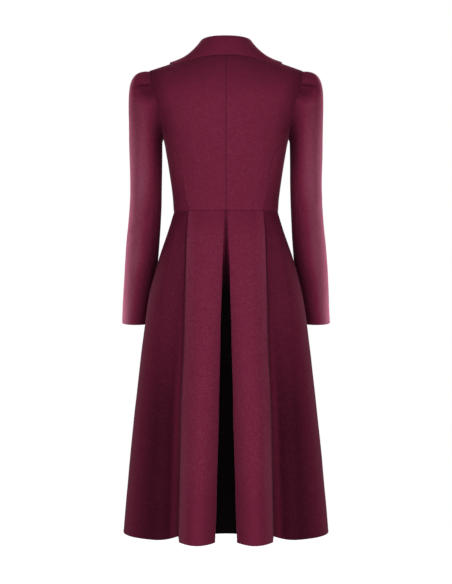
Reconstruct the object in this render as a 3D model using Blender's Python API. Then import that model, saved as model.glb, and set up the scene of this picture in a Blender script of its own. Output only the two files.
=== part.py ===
"""Long flared coat in wine wool, filled out as if worn.

Every piece is a wall of wool cloth, cut and placed as a tailor would sew it: bodice, side back,
skirt, sleeves, collar and lapels are separate panels with a small gap at each seam.

Frame: metres, +Z up. The front of the coat faces -Y and its left side is +X. The origin is at the
neck, level with the points where the shoulder seams meet the collar. Tables are in millimetres.
"""

from collections import namedtuple
from math import acos, asin, cos, pi, radians, sin, sqrt

import bmesh
import bpy
from mathutils import Vector

MM = 0.001

# Driving dimensions, in millimetres
CLOTH = 2.0  # thickness of the wool
COLLAR_CLOTH = 2.6  # two layers pressed together
SEAM_GAP = 0.3  # left open between neighbouring pieces
LAYER_GAP = 0.5  # air between the pleat's underlay and the returns it joins
FRONT_GAP = 1.2  # air between the two fronts where they overlap
LAPEL_GAP = 0.9  # air between a lapel and its front
COLLAR_GAP = 1.1  # air between the fall of the collar and the shoulders
ARMHOLE_GAP = 0.4  # added there, because the two curved edges have their corners at other places
WAIST_Z = -392.0
HEM_Z = -1187.0
UNDERARM_Z = -207.0
NECK_X = 75.0  # where the shoulder seam meets the neck
NECK_ROUND = 40.0  # the slope levels out within this distance of the centre
NAPE_Z = -4.0
TIP_X = 192.0  # outer end of the shoulder seam
TIP_Z = -38.5
OVERLAP = 25.0  # how far each front passes the centre line
BREAK_Z = -262.0  # where the lapel starts to roll
ROUND = 2.3  # squareness of the bodice section, 2 is an ellipse
SKIRT_ROUND = 2.2
BACK_SHOULDER = 105.0  # height over which the back rounds into the shoulder seam
FRONT_SHOULDER = 150.0
BUTTON_RADIUS = 14.0
BUTTON_THICK = 4.0
BUTTON_SIDES = 20
BUTTON_SEAT = 0.5  # from the front to the back of a button, so that its flat back clears the curve
BUTTON_HEIGHTS = (-275.0, -325.0, -375.0)

# The turned outline of a button from its dished middle over the rim to its back, as shares of the
# radius and of the thickness
Turned = namedtuple("Turned", "radius height")
BUTTON_OUTLINE = [
    Turned(0.66, 0.74),
    Turned(0.74, 1.0),
    Turned(0.92, 1.0),
    Turned(1.0, 0.67),
    Turned(1.0, 0.18),
    Turned(0.9, 0.0),
]

# The bodice, a row for each height: half width, and depth behind and in front of the side seams.
# Above the underarm the half width is that of the section carried on across the open armhole.
Body = namedtuple("Body", "z half_width back front")
BODY = [
    Body(WAIST_Z, 130.0, 90.0, 94.0),
    Body(-355.0, 132.5, 94.0, 103.0),
    Body(-302.0, 140.0, 102.0, 118.0),
    Body(-252.0, 148.0, 111.0, 130.0),
    Body(UNDERARM_Z, 157.0, 117.0, 130.0),
    Body(-172.0, 171.5, 120.0, 125.0),
    Body(-142.0, 182.0, 121.0, 119.0),
    Body(-117.0, 192.0, 120.5, 114.0),
    Body(-76.0, 206.0, 117.0, 108.0),
    Body(-40.0, 218.0, 114.0, 102.0),
    Body(30.0, 232.0, 108.0, 96.0),
]

# Edges in the plane of the view, a row for each height
Edge = namedtuple("Edge", "z x")
BACK_ARMHOLE = [
    Edge(UNDERARM_Z, 157.0),
    Edge(-202.0, 156.2),
    Edge(-190.0, 157.6),
    Edge(-172.0, 160.5),
    Edge(-142.0, 166.0),
    Edge(-117.0, 173.0),
    Edge(-76.0, 185.0),
    Edge(-48.0, 190.5),
    Edge(TIP_Z, TIP_X),
]
FRONT_ARMHOLE = [
    Edge(UNDERARM_Z, 157.0),
    Edge(-202.0, 155.8),
    Edge(-190.0, 155.5),
    Edge(-172.0, 156.5),
    Edge(-142.0, 160.0),
    Edge(-117.0, 166.5),
    Edge(-76.0, 181.0),
    Edge(-48.0, 189.5),
    Edge(TIP_Z, TIP_X),
]
PRINCESS_SEAM = [
    Edge(WAIST_Z, 89.8),
    Edge(-355.0, 99.8),
    Edge(-315.0, 104.4),
    Edge(-285.0, 110.0),
    Edge(-252.0, 121.5),
    Edge(-230.0, 139.0),
    Edge(-213.0, 152.5),
    Edge(-202.0, 156.2),
]
FRONT_EDGE = [Edge(WAIST_Z, -OVERLAP), Edge(BREAK_Z, -OVERLAP), Edge(0.0, NECK_X)]
LAPEL_EDGE = [
    Edge(-258.0, -18.0),
    Edge(-225.0, 16.0),
    Edge(-180.0, 58.0),
    Edge(-130.0, 100.0),
    Edge(-92.0, 120.0),
    Edge(-62.0, 130.0),
]
LAPEL_FOOT = {"left": -176.0, "right": -256.0}  # the left lapel comes out from under the right front
GORGE_Z = -62.5  # top of the lapel at the roll line
NOTCH = 9.5  # how far the lapel's top corner lies below that

# The skirt, a row for each height. The back panel runs from the pleat edge over a rounded middle to
# the crease, the side panel turns in to a valley behind the crease and swells out to the side seam.
Skirt = namedtuple(
    "Skirt",
    "z side_x pleat_x pleat_y middle_y crease_x crease_y valley_y swell_x swell_y front_y depth turn",
)
SKIRT = [
    Skirt(WAIST_Z, 130.0, 0.6, 90.0, 86.5, 89.8, 70.8, 68.4, 112.0, 52.6, 94.0, 12.0, 24.0),
    Skirt(-435.0, 143.0, 3.4, 99.0, 101.0, 93.7, 84.0, 76.0, 121.0, 65.0, 105.0, 24.0, 40.0),
    Skirt(-510.0, 168.5, 6.3, 110.0, 118.0, 95.9, 98.0, 81.0, 138.0, 80.0, 121.0, 38.0, 60.0),
    Skirt(-600.0, 191.5, 9.8, 118.0, 131.0, 97.7, 108.0, 82.0, 151.0, 90.0, 135.0, 51.0, 72.0),
    Skirt(-710.0, 207.0, 13.0, 124.0, 143.0, 99.4, 116.0, 80.0, 158.0, 97.0, 147.0, 63.0, 78.0),
    Skirt(-860.0, 224.5, 16.3, 129.0, 156.0, 105.6, 124.0, 76.0, 163.0, 103.0, 160.0, 77.0, 82.0),
    Skirt(-1020.0, 241.0, 20.6, 134.0, 168.0, 108.8, 131.0, 72.0, 167.0, 107.0, 172.0, 89.0, 85.0),
    Skirt(HEM_Z, 256.0, 25.5, 139.0, 178.0, 112.2, 137.0, 69.0, 170.0, 110.0, 184.0, 98.0, 87.0),
]
VALLEY_OUT = 4.5  # the valley lies this far outside the crease
WAIST_REACH = 70.0  # at the waist the skirt follows the bodice, and leaves it over this height
SIDE_BOW = (1.04, 1.19)  # how full the side panel is from the valley to the swell, low down and at the waist
SIDE_TURN = (0.72, 0.63)  # and from the swell to the side
UNDERLAY_DIP = 6.0  # how far the underlay bows inwards at the hem
SKIRT_ROWS = 11
RETURN_COLUMNS = 4
PANEL_COLUMNS = 6
FOLD_COLUMNS = 3
SIDE_COLUMNS = 7
FRONT_COLUMNS = 9
FRONT_STRIP = (70.0, 50.0, 30.0, 2.0, -OVERLAP)  # columns of the front skirt near the centre line

# The sleeve below its head, a row for each ring. The back of a ring lies lower by drop.
Ring = namedtuple("Ring", "z inner_x outer_x mid_y half_depth drop")
SLEEVE = [
    Ring(-226.0, 159.0, 241.0, 2.0, 65.0, 4.0),
    Ring(-330.0, 161.0, 239.5, -8.0, 62.0, 4.0),
    Ring(-410.0, 164.0, 245.0, -20.0, 59.0, 4.0),
    Ring(-470.0, 168.5, 252.0, -35.0, 56.0, 5.0),
    Ring(-530.0, 174.5, 257.5, -52.0, 53.0, 6.0),
    Ring(-600.0, 182.0, 263.0, -72.0, 50.0, 6.0),
    Ring(-668.0, 190.0, 267.5, -88.0, 48.0, 6.0),
]
BACK_SLEEVE_SEAM = radians(125.0)  # angle of the seam round the sleeve, 0 is outermost, 90 behind
FRONT_SLEEVE_SEAM = radians(235.0)
UPPER_COLUMNS = 18
UNDER_COLUMNS = 8
HEAD_STEPS = (0.0, 0.1, 0.22, 0.36, 0.5, 0.65, 0.82)
HEAD_REACH = (3.0, 62.0)  # how far the head stands straight out of the armhole, under and on top
HEAD_LIFT = (6.0, 124.0)  # how far below the head the sleeve hangs straight, under and on top
HEAD_RISE = 4.0  # the top of the head rises this much as it leaves the shoulder

# The collar, a row for each station from the centre back round to its front end: the roll line, the
# outer edge in plan, and how far out and up the fall bows between them. The first row repeats station 1
# on the other side, so that the curves run level through the centre back.
Collar = namedtuple("Collar", "station roll_x roll_y roll_z edge_x edge_y bow_out bow_up")
COLLAR = [
    Collar(-1, -26.0, 59.0, 37.0, -34.0, 80.7, 0.70, 0.64),
    Collar(0, 0.0, 64.0, 37.0, 0.0, 85.5, 0.75, 0.66),
    Collar(1, 26.0, 59.0, 37.0, 34.0, 80.7, 0.70, 0.64),
    Collar(2, 45.5, 43.0, 37.0, 64.0, 70.2, 0.54, 0.62),
    Collar(3, 57.0, 20.0, 36.5, 101.0, 58.5, 0.36, 0.62),
    Collar(4, 60.0, -3.0, 34.0, 131.0, 49.0, 0.27, 0.62),
    Collar(5, 61.5, -30.0, 17.0, 140.5, 6.0, 0.26, 0.6),
    Collar(6, 59.0, -61.0, -14.0, 141.0, -37.0, 0.35, 0.75),
    Collar(7, 52.0, -92.0, -54.0, 135.0, -55.0, 0.45, 0.95),
]
SIDE_NECK = 4  # the station where the collar crosses the shoulder seam
COLLAR_END_Z = -60.0  # the front neck edge at the last station
STATION_STEP = 0.5
STAND_STEPS = 4
FALL_STEPS = 7
ROLL_RADIUS = 4.2


def value_at(table, z, column, along="z"):
    """Read one column of a table at a height, on a smooth curve through its rows."""
    rows = sorted(table, key=lambda row: getattr(row, along))
    heights = [getattr(row, along) for row in rows]
    values = [getattr(row, column) for row in rows]
    z = min(max(z, heights[0]), heights[-1])
    i = max(k for k in range(len(rows) - 1) if heights[k] <= z)

    def slope(k):
        low, high = max(k - 1, 0), min(k + 1, len(rows) - 1)
        return (values[high] - values[low]) / (heights[high] - heights[low])

    span = heights[i + 1] - heights[i]
    t = (z - heights[i]) / span
    ease = t * t * (3 - 2 * t)
    bend_in = t * (1 - t) ** 2 * span * slope(i)
    bend_out = t * t * (1 - t) * span * slope(i + 1)
    return values[i] * (1 - ease) + values[i + 1] * ease + bend_in - bend_out


def straight_at(table, z):
    """Read an edge table at a height along straight lines between its rows."""
    for low, high in zip(table, table[1:]):
        if z <= high.z:
            break
    t = min(max((z - low.z) / (high.z - low.z), 0.0), 1.0)
    return low.x + (high.x - low.x) * t


def soft_step(low, high, value):
    t = min(max((value - low) / (high - low), 0.0), 1.0)
    return t * t * (3 - 2 * t)


def shoulder_height(x):
    """Height of the shoulder seam at a distance from the centre, carried on round across the neck."""
    out = abs(x)
    if out < NECK_ROUND:
        out += NECK_ROUND / 2 * (1 - out / NECK_ROUND) ** 2
    return (out - NECK_X) * TIP_Z / (TIP_X - NECK_X)


def bodice_y(x, z, face):
    """Depth of the outer face of the bodice, face 1 for the back and -1 for the front."""
    half = value_at(BODY, z, "half_width")
    depth = value_at(BODY, z, "back" if face > 0 else "front")
    rounding = BACK_SHOULDER if face > 0 else FRONT_SHOULDER
    below = min(max((shoulder_height(x) - z) / rounding, 0.0), 1.0)
    over_shoulder = sqrt(1 - (1 - below) ** 2)
    across = max(1 - (abs(x) / half) ** ROUND, 0.0) ** (1 / ROUND)
    return face * max(depth * over_shoulder * across, SEAM_GAP / 2)


def bodice_normal(x, z, face):
    """Outward direction of the bodice at a point of its outer face."""
    step = 0.2
    if z > shoulder_height(x) - step:
        return Vector((-TIP_Z / (TIP_X - NECK_X), 0, 1)).normalized()
    half = value_at(BODY, z, "half_width")
    x = min(max(x, -half + 3 * step), half - 3 * step)
    z = min(z, shoulder_height(x) - 3 * step)
    slope_x = (bodice_y(x + step, z, face) - bodice_y(x - step, z, face)) / (2 * step)
    slope_z = (bodice_y(x, z + step, face) - bodice_y(x, z - step, face)) / (2 * step)
    return Vector((-slope_x * face, face, -slope_z * face)).normalized()


def shoulder_z(x, y):
    """Height of the bodice's outer face over a point of the plan near the shoulder."""
    face = 1 if y >= 0 else -1
    rounding = BACK_SHOULDER if face > 0 else FRONT_SHOULDER
    z = shoulder_height(x)
    for _ in range(8):
        depth = value_at(BODY, z, "back" if face > 0 else "front")
        across = (1 - (abs(x) / value_at(BODY, z, "half_width")) ** ROUND) ** (1 / ROUND)
        share = min(abs(y) / (depth * across), 0.999)
        z = shoulder_height(x) - rounding * (1 - sqrt(1 - share**2))
    return z


def new_material(name, colour, roughness):
    material = bpy.data.materials.new(name)
    material.use_nodes = True
    shader = material.node_tree.nodes["Principled BSDF"]
    shader.inputs["Base Color"].default_value = (*colour, 1.0)
    shader.inputs["Roughness"].default_value = roughness
    shader.inputs["Metallic"].default_value = 0.0
    return material


def add_object(name, mesh, material):
    piece = bpy.data.objects.new(name, mesh)
    mesh.materials.append(material)
    bpy.context.scene.collection.objects.link(piece)
    piece.parent = coat
    return piece


def grid_normals(grid, wrap=False):
    """Outward directions of a grid of points, from the lines to the neighbours of each."""
    rows, columns = len(grid), len(grid[0])
    normals = []
    for r in range(rows):
        line = []
        for c in range(columns):
            left = c - 1 if c or wrap else c
            right = (c + 1) % columns if wrap else min(c + 1, columns - 1)
            along = (grid[r][right] - grid[r][c]).normalized() + (grid[r][c] - grid[r][left]).normalized()
            down = grid[min(r + 1, rows - 1)][c] - grid[max(r - 1, 0)][c]
            line.append(along.cross(down).normalized())
        normals.append(line)
    return normals


def trimmed(grid):
    """Draw the border of a panel in by half a seam gap."""
    rows, columns = len(grid), len(grid[0])
    half = SEAM_GAP / 2
    out = [list(line) for line in grid]
    for r in range(rows):
        for edge, inner in ((0, 1), (columns - 1, columns - 2)):
            out[r][edge] = out[r][edge] + (grid[r][inner] - grid[r][edge]).normalized() * half
    for c in range(columns):
        for edge, inner in ((0, 1), (rows - 1, rows - 2)):
            out[edge][c] = out[edge][c] + (grid[inner][c] - grid[edge][c]).normalized() * half
    return out


def cloth_panel(name, grid, normals, material, thickness=CLOTH):
    """A closed wall of cloth: the grid is its outer face, the inner face lies a thickness behind."""
    rows, columns = len(grid), len(grid[0])
    bm = bmesh.new()
    outer = [[bm.verts.new(p * MM) for p in line] for line in trimmed(grid)]
    inner = [
        [bm.verts.new(v.co - n * thickness * MM) for v, n in zip(line, directions)]
        for line, directions in zip(outer, normals)
    ]
    for r in range(rows - 1):
        for c in range(columns - 1):
            bm.faces.new((outer[r][c], outer[r][c + 1], outer[r + 1][c + 1], outer[r + 1][c]))
            bm.faces.new((inner[r + 1][c], inner[r + 1][c + 1], inner[r][c + 1], inner[r][c]))
    for r in range(rows - 1):
        for c in (0, columns - 1):
            bm.faces.new((outer[r][c], outer[r + 1][c], inner[r + 1][c], inner[r][c]))
    for c in range(columns - 1):
        for r in (0, rows - 1):
            bm.faces.new((outer[r][c], outer[r][c + 1], inner[r][c + 1], inner[r][c]))
    bmesh.ops.recalc_face_normals(bm, faces=bm.faces)
    mesh = bpy.data.meshes.new(name)
    bm.to_mesh(mesh)
    bm.free()
    mesh.shade_smooth()
    mesh.set_sharp_from_angle(angle=radians(40))
    return add_object(name, mesh, material)


def mirrored(grid):
    return [[Vector((-p.x, p.y, p.z)) for p in line] for line in grid]


def on_both_sides(name, grid, normals, material):
    """The left panel and its mirror image on the right."""
    cloth_panel(f"{name}_left", grid, normals, material)
    cloth_panel(f"{name}_right", mirrored(grid), mirrored(normals), material)


def armhole_heights(start, steps):
    """Heights up the armhole, closer together where it turns."""
    middle, reach = (UNDERARM_Z + TIP_Z) / 2, (TIP_Z - UNDERARM_Z) / 2
    first = acos((middle - start) / reach)
    angles = [first + (pi - first) * k / steps for k in range(steps + 1)]
    return [middle - reach * cos(angle) for angle in angles]


def back_bodice(material):
    """From the centre-back seam to the princess seam and, above it, to the armhole."""
    seam = [edge.z for edge in PRINCESS_SEAM]
    heights = seam[:-1] + armhole_heights(seam[-1], 8)
    neck_share = NECK_X / TIP_X
    shares = [neck_share * k / 3 for k in range(3)]
    shares += [neck_share + (1 - neck_share) * k / 5 for k in range(6)]
    grid, normals = [], []
    for height in heights:
        on_seam = height <= seam[-1]
        edge_x = value_at(PRINCESS_SEAM if on_seam else BACK_ARMHOLE, height, "x")
        line, directions = [], []
        for share in shares:
            top_x = share * TIP_X
            neck = NAPE_Z * (1 - (top_x / NECK_X) ** 2)
            top_z = neck if top_x < NECK_X else shoulder_height(top_x)
            z = WAIST_Z + (height - WAIST_Z) * (top_z - WAIST_Z) / (TIP_Z - WAIST_Z)
            x = share * edge_x
            line.append(Vector((x, bodice_y(x, z, 1), z)))
            directions.append(bodice_normal(x, z, 1))
        grid.append(line)
        normals.append(directions)
    on_both_sides("back_bodice", grid, normals, material)


def side_back_bodice(material):
    """The narrow piece between the princess seam and the side seam."""
    columns = 5
    top = PRINCESS_SEAM[-1].z
    grid, normals = [], []
    for edge in PRINCESS_SEAM:
        line, directions = [], []
        start_half = value_at(BODY, edge.z, "half_width")
        start = asin((edge.x / start_half) ** (ROUND / 2))
        side_z = WAIST_Z + (edge.z - WAIST_Z) * (UNDERARM_Z - WAIST_Z) / (top - WAIST_Z)
        for c in range(columns + 1):
            share = c / columns
            angle = start + (pi / 2 - start) * share
            z = edge.z + (side_z - edge.z) * share
            x = value_at(BODY, z, "half_width") * sin(angle) ** (2 / ROUND)
            line.append(Vector((x, bodice_y(x, z, 1), z)))
            directions.append(bodice_normal(x, z, 1))
        grid.append(line)
        normals.append(directions)
    on_both_sides("side_back_bodice", grid, normals, material)


def tuck_under(x):
    """How far the left front lies inside the right one near the centre."""
    return (CLOTH + FRONT_GAP) * (1 - soft_step(OVERLAP + 5, OVERLAP + 45, x))


def front_point(x, z, tucked):
    """A point of the outer face of a front, and its outward direction, on the left side."""
    y = bodice_y(x, z, -1) + (tuck_under(x) if tucked else 0.0)
    return Vector((x, y, z)), bodice_normal(x, z, -1)


def place_on_side(name, side, grid, normals, material, thickness=CLOTH):
    if side == "right":
        grid, normals = mirrored(grid), mirrored(normals)
    return cloth_panel(f"{name}_{side}", grid, normals, material, thickness)


def front_bodice(side, material):
    """From the front edge and roll line to the side seam and, above it, to the armhole."""
    below = [WAIST_Z + (UNDERARM_Z - WAIST_Z) * k / 6 for k in range(6)]
    heights = below + armhole_heights(UNDERARM_Z, 9)
    columns = 9
    top_share = (0.0 - WAIST_Z) / (TIP_Z - WAIST_Z)
    grid, normals = [], []
    for height in heights:
        edge_x = value_at(FRONT_ARMHOLE if height > UNDERARM_Z else BODY, height,
                          "x" if height > UNDERARM_Z else "half_width")
        front_z = WAIST_Z + (height - WAIST_Z) * top_share
        front_x = straight_at(FRONT_EDGE, front_z)
        line, directions = [], []
        for c in range(columns + 1):
            share = sin(pi / 2 * c / columns)
            top_z = shoulder_height(NECK_X + (TIP_X - NECK_X) * share)
            z = WAIST_Z + (height - WAIST_Z) * (top_z - WAIST_Z) / (TIP_Z - WAIST_Z)
            x = front_x + (edge_x - front_x) * share
            point, direction = front_point(x, z, side == "left")
            line.append(point)
            directions.append(direction)
        grid.append(line)
        normals.append(directions)
    place_on_side("front_bodice", side, grid, normals, material)


def lapel(side, material):
    """Lies on its front, from the roll line to the outer edge, made from the front's points moved out."""
    foot = LAPEL_FOOT[side]
    rows, columns = 10, 5
    grid, normals = [], []
    for r in range(rows + 1):
        height = foot + (GORGE_Z - foot) * r / rows
        roll_x = straight_at(FRONT_EDGE, height) + SEAM_GAP
        taper = soft_step(0.0, 0.35, r / rows) if side == "left" else 1.0
        edge_x = roll_x + max((value_at(LAPEL_EDGE, height, "x") - roll_x) * taper, 5.0)
        line, directions = [], []
        for c in range(columns + 1):
            share = c / columns
            x = roll_x + (edge_x - roll_x) * share
            z = height - NOTCH * share**1.5 * (height - foot) / (GORGE_Z - foot)
            point, direction = front_point(x, z, side == "left")
            line.append(point + direction * (CLOTH + LAPEL_GAP))
            directions.append(direction)
        grid.append(line)
        normals.append(directions)
    place_on_side("lapel", side, grid, normals, material)


def armhole_loop(face):
    """Points of the armhole from the shoulder tip down to the underarm, on the back or front."""
    table = BACK_ARMHOLE if face > 0 else FRONT_ARMHOLE
    steps = 48
    middle, reach = (UNDERARM_Z + TIP_Z) / 2, (TIP_Z - UNDERARM_Z) / 2
    points = []
    for k in range(steps + 1):
        z = middle + reach * cos(pi * k / steps)
        x = value_at(table, z, "x")
        y = bodice_y(x, z, face) if 0 < k < steps else 0.0
        points.append(Vector((x + ARMHOLE_GAP, y, z)))
    return points


def along_line(points, share):
    """The point at a share of a line's length."""
    lengths = [(b - a).length for a, b in zip(points, points[1:])]
    left = share * sum(lengths)
    for start, end, length in zip(points, points[1:], lengths):
        if left <= length:
            return start.lerp(end, left / length)
        left -= length
    return points[-1]


def sleeve_ring(angle, ring):
    """A point of one ring of the sleeve, angle 0 outermost and a quarter turn behind."""
    c, s = cos(angle), sin(angle)
    power = 2 / SKIRT_ROUND
    across = abs(c) ** power * (1 if c >= 0 else -1)
    deep = abs(s) ** power * (1 if s >= 0 else -1)
    mid_x, half = (ring.inner_x + ring.outer_x) / 2, (ring.outer_x - ring.inner_x) / 2
    return Vector((mid_x + half * across, ring.mid_y + ring.half_depth * deep, ring.z - ring.drop * deep))


def sleeve_grid(angles):
    """Rows from the armhole over the full head and down the rings to the cuff."""
    back, front = armhole_loop(1), armhole_loop(-1)
    starts = [
        along_line(back, a / pi) if a <= pi else along_line(front, (2 * pi - a) / pi) for a in angles
    ]
    first = [sleeve_ring(a, SLEEVE[0]) for a in angles]
    grid = []
    for t in HEAD_STEPS:
        line = []
        for angle, start, end in zip(angles, starts, first):
            top = (1 + cos(angle)) / 2
            reach = HEAD_REACH[0] + HEAD_REACH[1] * top**1.2
            lift = HEAD_LIFT[0] + HEAD_LIFT[1] * top**1.4
            leave = start + Vector((reach, 0, HEAD_RISE * top))
            arrive = end + Vector((0, 0, lift))
            near = start * (1 - t) ** 3 + leave * 3 * t * (1 - t) ** 2
            line.append(near + arrive * 3 * t * t * (1 - t) + end * t**3)
        grid.append(line)
    return grid + [[sleeve_ring(angle, ring) for angle in angles] for ring in SLEEVE]


def sleeves(material):
    """Upper and under sleeve, cut along the two seams of one round sleeve."""
    span = FRONT_SLEEVE_SEAM - BACK_SLEEVE_SEAM
    under = [BACK_SLEEVE_SEAM + span * k / UNDER_COLUMNS for k in range(UNDER_COLUMNS)]
    upper = [
        (FRONT_SLEEVE_SEAM + (2 * pi - span) * k / UPPER_COLUMNS) % (2 * pi) for k in range(UPPER_COLUMNS)
    ]
    grid = sleeve_grid(under + upper)
    normals = grid_normals(grid, wrap=True)
    inside = normals[-1][0].dot(Vector((-1, 1, 0))) < 0
    normals = [[-n if inside else n for n in line] for line in normals]

    def columns(lines, first, count):
        total = len(lines[0])
        return [[line[(first + k) % total] for k in range(count + 1)] for line in lines]

    cuts = (("under_sleeve", 0, UNDER_COLUMNS), ("upper_sleeve", UNDER_COLUMNS, UPPER_COLUMNS))
    for name, first, count in cuts:
        on_both_sides(name, columns(grid, first, count), columns(normals, first, count), material)


def bezier(start, control, end, t):
    return start * (1 - t) ** 2 + control * 2 * t * (1 - t) + end * t * t


def skirt_section(z, tucked):
    """Half of the skirt at one height: pleat return, back panel, fold, side panel and front."""
    row = Skirt(z, *(value_at(SKIRT, z, name) for name in Skirt._fields[1:]))
    turn = radians(row.turn)
    pleat = Vector((row.pleat_x, row.pleat_y, z))
    deep = pleat + Vector((cos(turn), -sin(turn), 0)) * row.depth
    crease = Vector((row.crease_x, row.crease_y, z))
    middle = Vector(((row.pleat_x + row.crease_x) / 2, row.middle_y, z))
    crown = middle * 2 - (pleat + crease) / 2
    valley = Vector((row.crease_x + VALLEY_OUT, row.valley_y, z))
    swell = Vector((row.swell_x, row.swell_y, z))
    side = Vector((row.side_x, 0, z))
    held = soft_step(WAIST_Z - WAIST_REACH, WAIST_Z, z)
    bow, side_turn, power = (a + (b - a) * held for a, b in (SIDE_BOW, SIDE_TURN, (SKIRT_ROUND, ROUND)))
    line = [deep.lerp(pleat, k / RETURN_COLUMNS) for k in range(RETURN_COLUMNS)]
    line += [bezier(pleat, crown, crease, k / PANEL_COLUMNS) for k in range(PANEL_COLUMNS)]
    line += [crease.lerp(valley, k / FOLD_COLUMNS) for k in range(FOLD_COLUMNS)]
    to_swell = SIDE_COLUMNS // 2
    rise = Vector((valley.x + (swell.x - valley.x) * 0.45, swell.y * bow, z))
    line += [bezier(valley, rise, swell, k / to_swell) for k in range(to_swell)]
    shoulder = Vector((side.x, swell.y * side_turn, z))
    rest = SIDE_COLUMNS - to_swell
    line += [bezier(swell, shoulder, side, k / rest) for k in range(rest)]
    round_columns = FRONT_COLUMNS - len(FRONT_STRIP)
    last = acos((FRONT_STRIP[0] / row.side_x) ** (power / 2))
    angles = [last * k / (round_columns + 1) for k in range(round_columns + 1)]
    across = [row.side_x * cos(angle) ** (2 / power) for angle in angles] + list(FRONT_STRIP)
    for x in across:
        y = -row.front_y * (1 - (abs(x) / row.side_x) ** power) ** (1 / power)
        line.append(Vector((x, y, z)))
    if tucked:
        line = [p + Vector((0, tuck_under(p.x) if p.y < 0 else 0.0, 0)) for p in line]
    return line


def skirt_heights():
    return [WAIST_Z + (HEM_Z - WAIST_Z) * (k / SKIRT_ROWS) ** 1.25 for k in range(SKIRT_ROWS + 1)]


def skirts(material):
    """Back, side and front skirt on each side, and the underlay across the bottom of the pleat."""
    pieces = (
        ("back_skirt", RETURN_COLUMNS + PANEL_COLUMNS),
        ("side_skirt", FOLD_COLUMNS + SIDE_COLUMNS),
        ("front_skirt", FRONT_COLUMNS),
    )
    for side in ("left", "right"):
        grid = [skirt_section(z, side == "left") for z in skirt_heights()]
        normals = grid_normals(grid)
        if normals[-1][-1].y > 0:
            normals = [[-n for n in line] for line in normals]
        first = 0
        for name, count in pieces:
            part = [line[first : first + count + 1] for line in grid]
            directions = [line[first : first + count + 1] for line in normals]
            place_on_side(name, side, part, directions, material)
            first += count


def pleat_underlay(material):
    """Joins the inner ends of the two pleat returns, bowing inwards towards the hem."""
    columns = 6
    grid = []
    for z in skirt_heights():
        end = skirt_section(z, False)[0]
        dip = UNDERLAY_DIP * (z - WAIST_Z) / (HEM_Z - WAIST_Z)
        line = []
        for c in range(columns + 1):
            share = 2 * c / columns - 1
            line.append(Vector((-end.x * share, end.y - LAYER_GAP - dip * (1 - share**2), z)))
        grid.append(line)
    normals = grid_normals(grid)
    if normals[-1][3].y < 0:
        normals = [[-n for n in line] for line in normals]
    cloth_panel("pleat_underlay", grid, normals, material)


def neck_point(station):
    """A point of the neck edge, from the nape round the back and down the front edge."""
    last = COLLAR[-1].station
    if station <= SIDE_NECK:
        x = NECK_X * sin(station / SIDE_NECK * pi / 2)
        z = NAPE_Z * (1 - (x / NECK_X) ** 2)
        return Vector((x, bodice_y(x, z, 1), z))
    z = COLLAR_END_Z * ((station - SIDE_NECK) / (last - SIDE_NECK)) ** 1.2
    x = straight_at(FRONT_EDGE, z)
    return Vector((x, bodice_y(x, z, -1), z))


def over_shoulder(point):
    """Lift a point of the fall until the collar clears the bodice below it."""
    z = shoulder_z(point.x, point.y)
    rise = bodice_normal(point.x, z, 1 if point.y >= 0 else -1).z
    clear = z + (COLLAR_CLOTH + COLLAR_GAP) / max(rise, 0.3)
    return Vector((point.x, point.y, max(point.z, clear)))


def collar_section(station):
    """From the seam at the neck up the stand, over the roll and down the fall to the outer edge."""
    row = Collar(station, *(value_at(COLLAR, station, name, "station") for name in Collar._fields[1:]))
    roll = Vector((row.roll_x, row.roll_y, row.roll_z))
    edge = over_shoulder(Vector((row.edge_x, row.edge_y, -1000.0)))
    bow = roll + (edge - roll) * row.bow_out
    bow.z = edge.z + (roll.z - edge.z) * row.bow_up
    out = Vector((bow.x - roll.x, bow.y - roll.y, 0)).normalized()
    seat = neck_point(station) - out * (COLLAR_CLOTH + SEAM_GAP) + Vector((0, 0, SEAM_GAP))
    turn = min(ROLL_RADIUS, (roll - seat).length * 0.45)
    stand_top = roll - Vector((0, 0, turn))
    fall_top = roll + out * turn * 1.5 - Vector((0, 0, turn * 0.5))
    line = [seat.lerp(stand_top, k / STAND_STEPS) for k in range(STAND_STEPS + 1)]
    line += [roll + out * turn * 0.5]
    fall = [bezier(fall_top, bow, edge, k / FALL_STEPS) for k in range(FALL_STEPS + 1)]
    return line + fall[:1] + [over_shoulder(point) for point in fall[1:]]


def collar(material):
    """One piece from the right gorge round the back of the neck to the left gorge."""
    steps = round(COLLAR[-1].station / STATION_STEP)
    half = [collar_section(k * STATION_STEP) for k in range(steps + 1)]
    grid = mirrored(half[:0:-1]) + half
    normals = grid_normals(grid)
    if normals[steps][-1].y < 0:
        normals = [[-n for n in line] for line in normals]
    cloth_panel("collar", grid, normals, material, COLLAR_CLOTH)


def button(name, z, material):
    """A round button with a raised rim, on the right front at the centre line."""
    bm = bmesh.new()
    angles = [2 * pi * k / BUTTON_SIDES for k in range(BUTTON_SIDES)]
    rings = []
    for turned in BUTTON_OUTLINE:
        radius, height = turned.radius * BUTTON_RADIUS, turned.height * BUTTON_THICK
        rings.append([bm.verts.new(Vector((radius * cos(a), radius * sin(a), height)) * MM) for a in angles])
    for upper, lower in zip(rings, rings[1:]):
        for k in range(BUTTON_SIDES):
            bm.faces.new((upper[k - 1], lower[k - 1], lower[k], upper[k]))
    bm.faces.new(rings[0])
    bm.faces.new(rings[-1][::-1])
    bmesh.ops.recalc_face_normals(bm, faces=bm.faces)
    mesh = bpy.data.meshes.new(name)
    bm.to_mesh(mesh)
    bm.free()
    piece = add_object(name, mesh, material)
    normal = bodice_normal(0.0, z, -1)
    seat = Vector((0, bodice_y(0.0, z, -1), z)) + normal * BUTTON_SEAT
    piece.location = seat * MM
    piece.rotation_euler = normal.to_track_quat("Z", "Y").to_euler()


for old in list(bpy.data.objects):
    bpy.data.objects.remove(old, do_unlink=True)
coat = bpy.data.objects.new("coat_at_neck", None)
bpy.context.scene.collection.objects.link(coat)

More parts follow.
